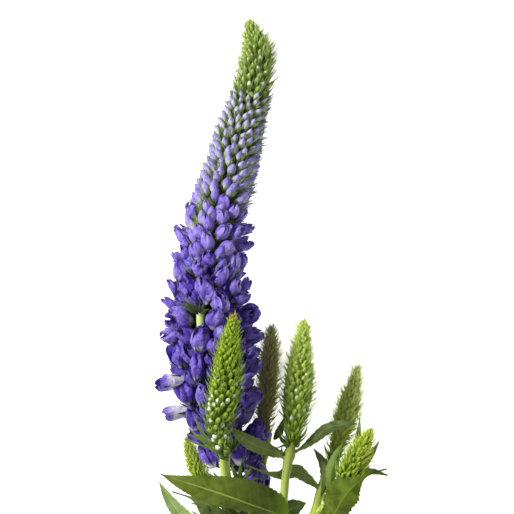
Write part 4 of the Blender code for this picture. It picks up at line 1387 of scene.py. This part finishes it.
LEAVES = (
    Leaf("leaf_front_large", (
        (4.4, -57.7, 11.6), (0.6, -55.2, 15.6), (-5.7, -52.8, 20.6), (-12.6, -50.1, 24.2),
        (-19.5, -47.7, 25.2), (-26.4, -45.5, 24.8), (-33.3, -43.3, 23.4)), 7.2, -14, FRONT_LEAF,
        32, 0.35, 0, 0.06, (0.15, 1.7), 0.6, 1.1),
    Leaf("leaf_left_narrow", (
        (-4, -70.6, 3.2), (-9.6, -68.2, 2.9), (-17.4, -64.2, 2.6), (-26.1, -57.3, 2.4),
        (-30.6, -51.9, 2.2), (-33.9, -46.2, 2)), 3, 10, PALE_LEAF, 18, 0.35, 0, 0.12),
    Leaf("leaf_left_under", (
        (-12.2, -58.4, 5.6), (-17.1, -55.2, 6.6), (-23.1, -51.3, 6.8), (-30, -48.9, 6)),
        2.2, -12, DARK_LEAF, 12, 0.35, 0.75),
    Leaf("leaf_middle_left", (
        (4.4, -38.2, 15.6), (-0.6, -36.4, 17.2), (-6, -34.2, 20.6), (-9.6, -31.8, 22.6),
        (-12.4, -29.4, 23.4)), 2.1, -12, EDGE_LEAF, 12, 0.6),
    Leaf("leaf_middle_right", (
        (6, -37.2, 15.6), (9.8, -35.1, 15.7), (13.2, -32.4, 15), (16.8, -29.7, 14),
        (21, -28.6, 13.2), (25.5, -28.4, 12.6)), 1.7, -14, DARK_LEAF,
        11, 0.4, 0, 0.2, (1, 0), 1.2, 0.9),
    Leaf("leaf_crossing", (
        (14.2, -47.8, 7.4), (10.2, -44.6, 9.8), (6.9, -42.5, 11.5), (2.4, -43.8, 12.5),
        (-2.4, -42.7, 17.2), (-7.2, -40.9, 20.9)), 2, 8, EDGE_LEAF, 9, 0.4, 0.65),
    Leaf("leaf_right_folded", (
        (15.2, -48.8, 8.9), (16.4, -44.7, 9.2), (15.6, -40.6, 9), (12.6, -36, 8.6)),
        2, -22, DARK_LEAF, 6),
    Leaf("leaf_right_front", (
        (13.8, -58.6, 7.9), (18.4, -55.6, 12.4), (21, -51, 16.2), (24.6, -46.8, 17.8),
        (28.8, -43.5, 17.2), (34.4, -41.9, 14.6)), 4.2, -12, RIGHT_LEAF,
        20, 0.1, 0.85, 0.16, (1.35, 0)),
    Leaf("leaf_right_bluish", (
        (17, -49.5, 10.3), (17.7, -42.9, 11.6), (19.2, -38.4, 11.6), (21.3, -34.2, 11.4)),
        1.8, -20, BLUISH_LEAF, 8),
    Leaf("leaf_low_right", (
        (-0.6, -64.4, 3.4), (1.8, -59.4, 2.8), (5.6, -54.4, 2.3), (10.2, -52.4, 2.2)),
        3.8, 6, DARK_LEAF, 9),
    Leaf("leaf_right_outer", (
        (19.4, -50, 7.75), (24, -45.8, 5.9), (29.4, -42.9, 5.5), (34.8, -44, 5.3)),
        1.3, -10, EDGE_LEAF, 8),
    Leaf("leaf_right_upper", (
        (22.2, -47.7, 9), (26.4, -42.3, 6.6), (29.7, -37.8, 7), (32.1, -33.9, 7.6)),
        1.2, -10, EDGE_LEAF, 8),
    Leaf("leaf_right_upright", (
        (20.3, -47.4, 8.75), (24, -39.9, 6.6), (25.8, -32.7, 7), (26.4, -26.7, 7.2)),
        1.1, -10, EDGE_LEAF, 8),
    Leaf("leaf_left_pale", ((-11.7, -55, 9.8), (-13.6, -53.4, 10.2), (-15, -50.9, 10.2)),
        1.1, -10, PALE_LEAF, 4),
    Leaf("leaf_left_small", ((-10.2, -57.6, 8.2), (-16.4, -55.6, 9.2), (-21.6, -52.2, 9.6)),
        1.1, -10, DARK_LEAF, 6),
    Leaf("leaf_behind_small", ((0.6, -33.4, 2.3), (2.4, -30.6, 2.4), (3.4, -27.2, 2.4)),
        1.2, -8, DARK_LEAF, 5),
)

# Narrow leaflets: root, middle and tip, and then the half width.
LEAFLETS = (
    (-14.4, -36.4, 26, -20.5, -33.2, 26.4, -27.4, -30.5, 25.6, 0.55),
    (-14.6, -37, 25.4, -21.4, -34.5, 25, -28.4, -31.9, 24, 0.4),
    (-14.8, -35.8, 26.6, -19.6, -32.8, 26.8, -23.8, -31, 26, 0.7),
    (-13.2, -36.8, 26, -11.2, -35.6, 27, -9.4, -33, 27.2, 0.4),
    (-16.4, -36.2, 24.6, -20.6, -31.2, 25.2, -23.4, -25.2, 24.2, 0.75),
    (-16, -35.4, 25, -18.8, -30.2, 26.2, -20.6, -25.6, 25.4, 0.6),
    (-16.8, -36.4, 24.4, -21.2, -32.8, 25, -25.2, -29.2, 23.8, 0.6),
    (-15.8, -35.2, 25.4, -17.8, -31.4, 26.8, -18.8, -27.8, 26.2, 0.6),
    (-12.4, -35.6, 25.8, -10.6, -32.6, 27.4, -9.8, -29.2, 27, 0.55),
    (-12.8, -36, 25.6, -10.2, -34.4, 26.8, -7.9, -31.4, 26.4, 0.45),
    (-14.9, -37.6, 25.2, -15.9, -35.6, 27, -16.6, -33.2, 28.6, 0.7),
    (-13.5, -37.4, 25.2, -12.5, -35.4, 27, -11.8, -33.2, 28.6, 0.7),
    (-14.2, -37.2, 25.6, -14.3, -35.6, 27.6, -14.2, -33.4, 29.2, 0.6),
    (5.4, -34.6, 15.6, 3, -35, 16.4, 0.6, -36.2, 16.8, 0.4),
    (4, -38, 16.4, 2.9, -36.8, 16.9, 3.2, -34.8, 17, 0.55),
    (4.9, -33.6, 15.8, 3, -33.2, 16.8, 1.8, -30, 17.2, 0.8),
    (5, -35.6, 16.2, 4.4, -34, 17.4, 4.8, -31.4, 17.8, 0.7),
    (6.8, -35.4, 16, 8, -34.6, 16.6, 8.4, -32.4, 16.8, 0.5),
    (6.6, -34.2, 16.2, 9.6, -32.8, 17.2, 12.2, -28.2, 17.6, 0.14),
    (7, -33, 16.2, 9.6, -31.4, 17, 10.6, -28, 17.2, 0.5),
    (14.8, -48.4, 7.8, 15.4, -45.6, 9.6, 14.2, -42.6, 9.8, 0.55),
    (-5.4, -53, 8, -7.6, -48, 12.4, -10, -45, 13.4, 1),
    (-7, -53, 8.6, -12, -48.4, 12.6, -17.4, -43.2, 12.8, 0.9),
    (-6.8, -52.6, 9, -9.4, -47, 13.2, -15, -44.6, 13.6, 0.8),
    (-8.6, -47, 9, -11, -43.6, 13, -12, -40.4, 14.2, 0.9),
    (-8.4, -46.6, 9.4, -9.6, -43, 14, -8.6, -39.8, 15.2, 0.8),
    (-8.2, -46.8, 9.6, -7.4, -43.4, 13.6, -5.2, -41, 14, 0.7),
    (-8.8, -47.4, 9, -12.8, -45.4, 12, -15.8, -44.4, 12.4, 0.8),
    (-8.4, -47.6, 9.2, -6.4, -45.4, 12.4, -3, -44.8, 12.6, 0.6),
    (-12, -50, 14, -17, -45.2, 15, -20.8, -42.4, 14.6, 1),
    (-12.6, -49.6, 14.4, -15.6, -45.6, 15.4, -17.8, -42.6, 15, 0.9),
    (14.6, -50.4, 7.6, 15.7, -46.6, 9.8, 15.3, -42.8, 10, 0.55),
)
LOW_LEAFLETS = (
    (-5, -62, 4.2, -13, -57.4, 6.6, -20.4, -51.6, 7.2, 1.7),
    (-5.4, -60.8, 5, -11.6, -56.6, 8.2, -16.2, -52, 9, 1.3),
    (-5, -60.4, 5.4, -9, -56.4, 8.6, -13.4, -54.2, 9.6, 1.1),
    (-12, -60, 4.6, -18.6, -57.6, 6.8, -23, -52.4, 7, 1.5),
    (-5, -60, 6, -14, -55.4, 10, -26, -51.8, 10, 1.3),
    (-5, -59, 7, -11, -54.9, 12, -18, -52.2, 12.6, 1.2),
    (-8, -60, 7, -16, -56.2, 11, -23, -53.4, 11, 1),
    (-6, -60.4, 7, -9, -55.4, 11.6, -12.4, -51.6, 12.4, 1),
    (-10, -60.4, 6.4, -18.4, -55.8, 11.6, -21.4, -51.2, 12.2, 0.9),
    (-9, -61, 6.8, -15, -56.4, 12, -16.4, -51.6, 13, 1.1),
    (-7, -61, 6.8, -11.6, -57, 12.4, -13.8, -52.6, 13.4, 0.8),
    (-4, -60, 7.6, -7.6, -55.6, 12.8, -10.4, -53.2, 13.6, 0.9),
    (-12, -60.6, 6.2, -19.6, -57.4, 10.4, -24.6, -54.2, 10.6, 0.9),
)


@dataclass
class Stems:
    """The main stem, the stalks of the side spikes and the narrow leaflets at their heads."""

    seed: int = 41
    hairs_to_mm: float = 5.0
    hair_half: float = 0.045

    def build(self) -> None:
        """Makes the faintly ridged and hairy stalks and the leaflets, and dresses them."""
        draw = random.Random(self.seed)
        rod = Bench.ball(12, 40)
        share = np.clip((rod.along - 0.02) / 0.96, 0.0, 1.0)
        rounding = np.sqrt(np.clip(np.sin(math.pi * rod.along) * 14.0, 0.0, 1.0))
        relief = rounding * (1.0 + 0.035 * np.cos(4.0 * rod.across))
        piece = Cluster("stem_and_stalks")
        for points in (MAIN_STEM, *STALKS):
            route = Route(points, 6)
            looks = (draw.uniform(0.2, 0.8), draw.uniform(0.5, 1.0))
            piece.add(rod, route.tube(rod, share, relief), *looks)
            self.hairs(piece, route, draw)
        piece.make(STALK_GREEN, Slot.STEM, "branching_stem")
        form = Bench.ball(6, 14)
        bracts = Cluster("small_bracts")
        rows = [(row, draw.uniform(0.4, 0.9)) for row in LEAFLETS]
        rows += [(row, draw.choice((0.0, 0.2, 0.8))) for row in LOW_LEAFLETS]
        for row, tone in rows:
            start, middle, end = np.array(row[:9]).reshape(3, 3)
            bend = (start, 2.0 * middle - 0.5 * (start + end), end)
            bracts.blade(form, bend, unit(np.cross(end - start, UP)), row[9], 0.3, 0.5, tone)
        bracts.make(SMALL_BRACT, Slot.LEAF)

    def hairs(self, piece: Cluster, route: Route, draw: random.Random) -> None:
        """Scatters short hairs over a stalk.

        Args:
            piece: The piece that takes them.
            route: The stalk's route.
            draw: Random numbers.
        """
        form = Bench.ball(3, 3)
        length = float(np.linalg.norm(np.diff(route.points, axis=0), axis=1).sum())
        half = self.hair_half * np.sin(math.pi * form.along)
        for _ in range(int(length * self.hairs_to_mm)):
            (middle,), (tangent,), _, (width,) = route.at(np.array([draw.uniform(0.02, 0.98)]))
            out = around(tangent, -draw.uniform(0.0, math.tau))
            start = middle + out * width * 0.9
            end = middle + out * (width + draw.uniform(0.25, 0.5)) - tangent * 0.15
            shape = swept(form, (start, (start + end) / 2.0, end), unit(np.cross(out, tangent)), half)
            piece.add(form, shape, 0.3, 1.0, 1.0)


def main() -> None:
    """Builds every piece in order."""
    logging.basicConfig(level=logging.INFO, format="%(name)s %(message)s")
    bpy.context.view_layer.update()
    Studio().build()
    Table().build()
    spike = MainSpike()
    spike.blooms()
    spike.buds()
    spike.tip()
    for side in SIDE_SPIKES:
        side.build(spike.bead, spike.needle)
    for leaf in LEAVES:
        leaf.build()
    Stems().build()


if __name__ == "__main__":
    main()
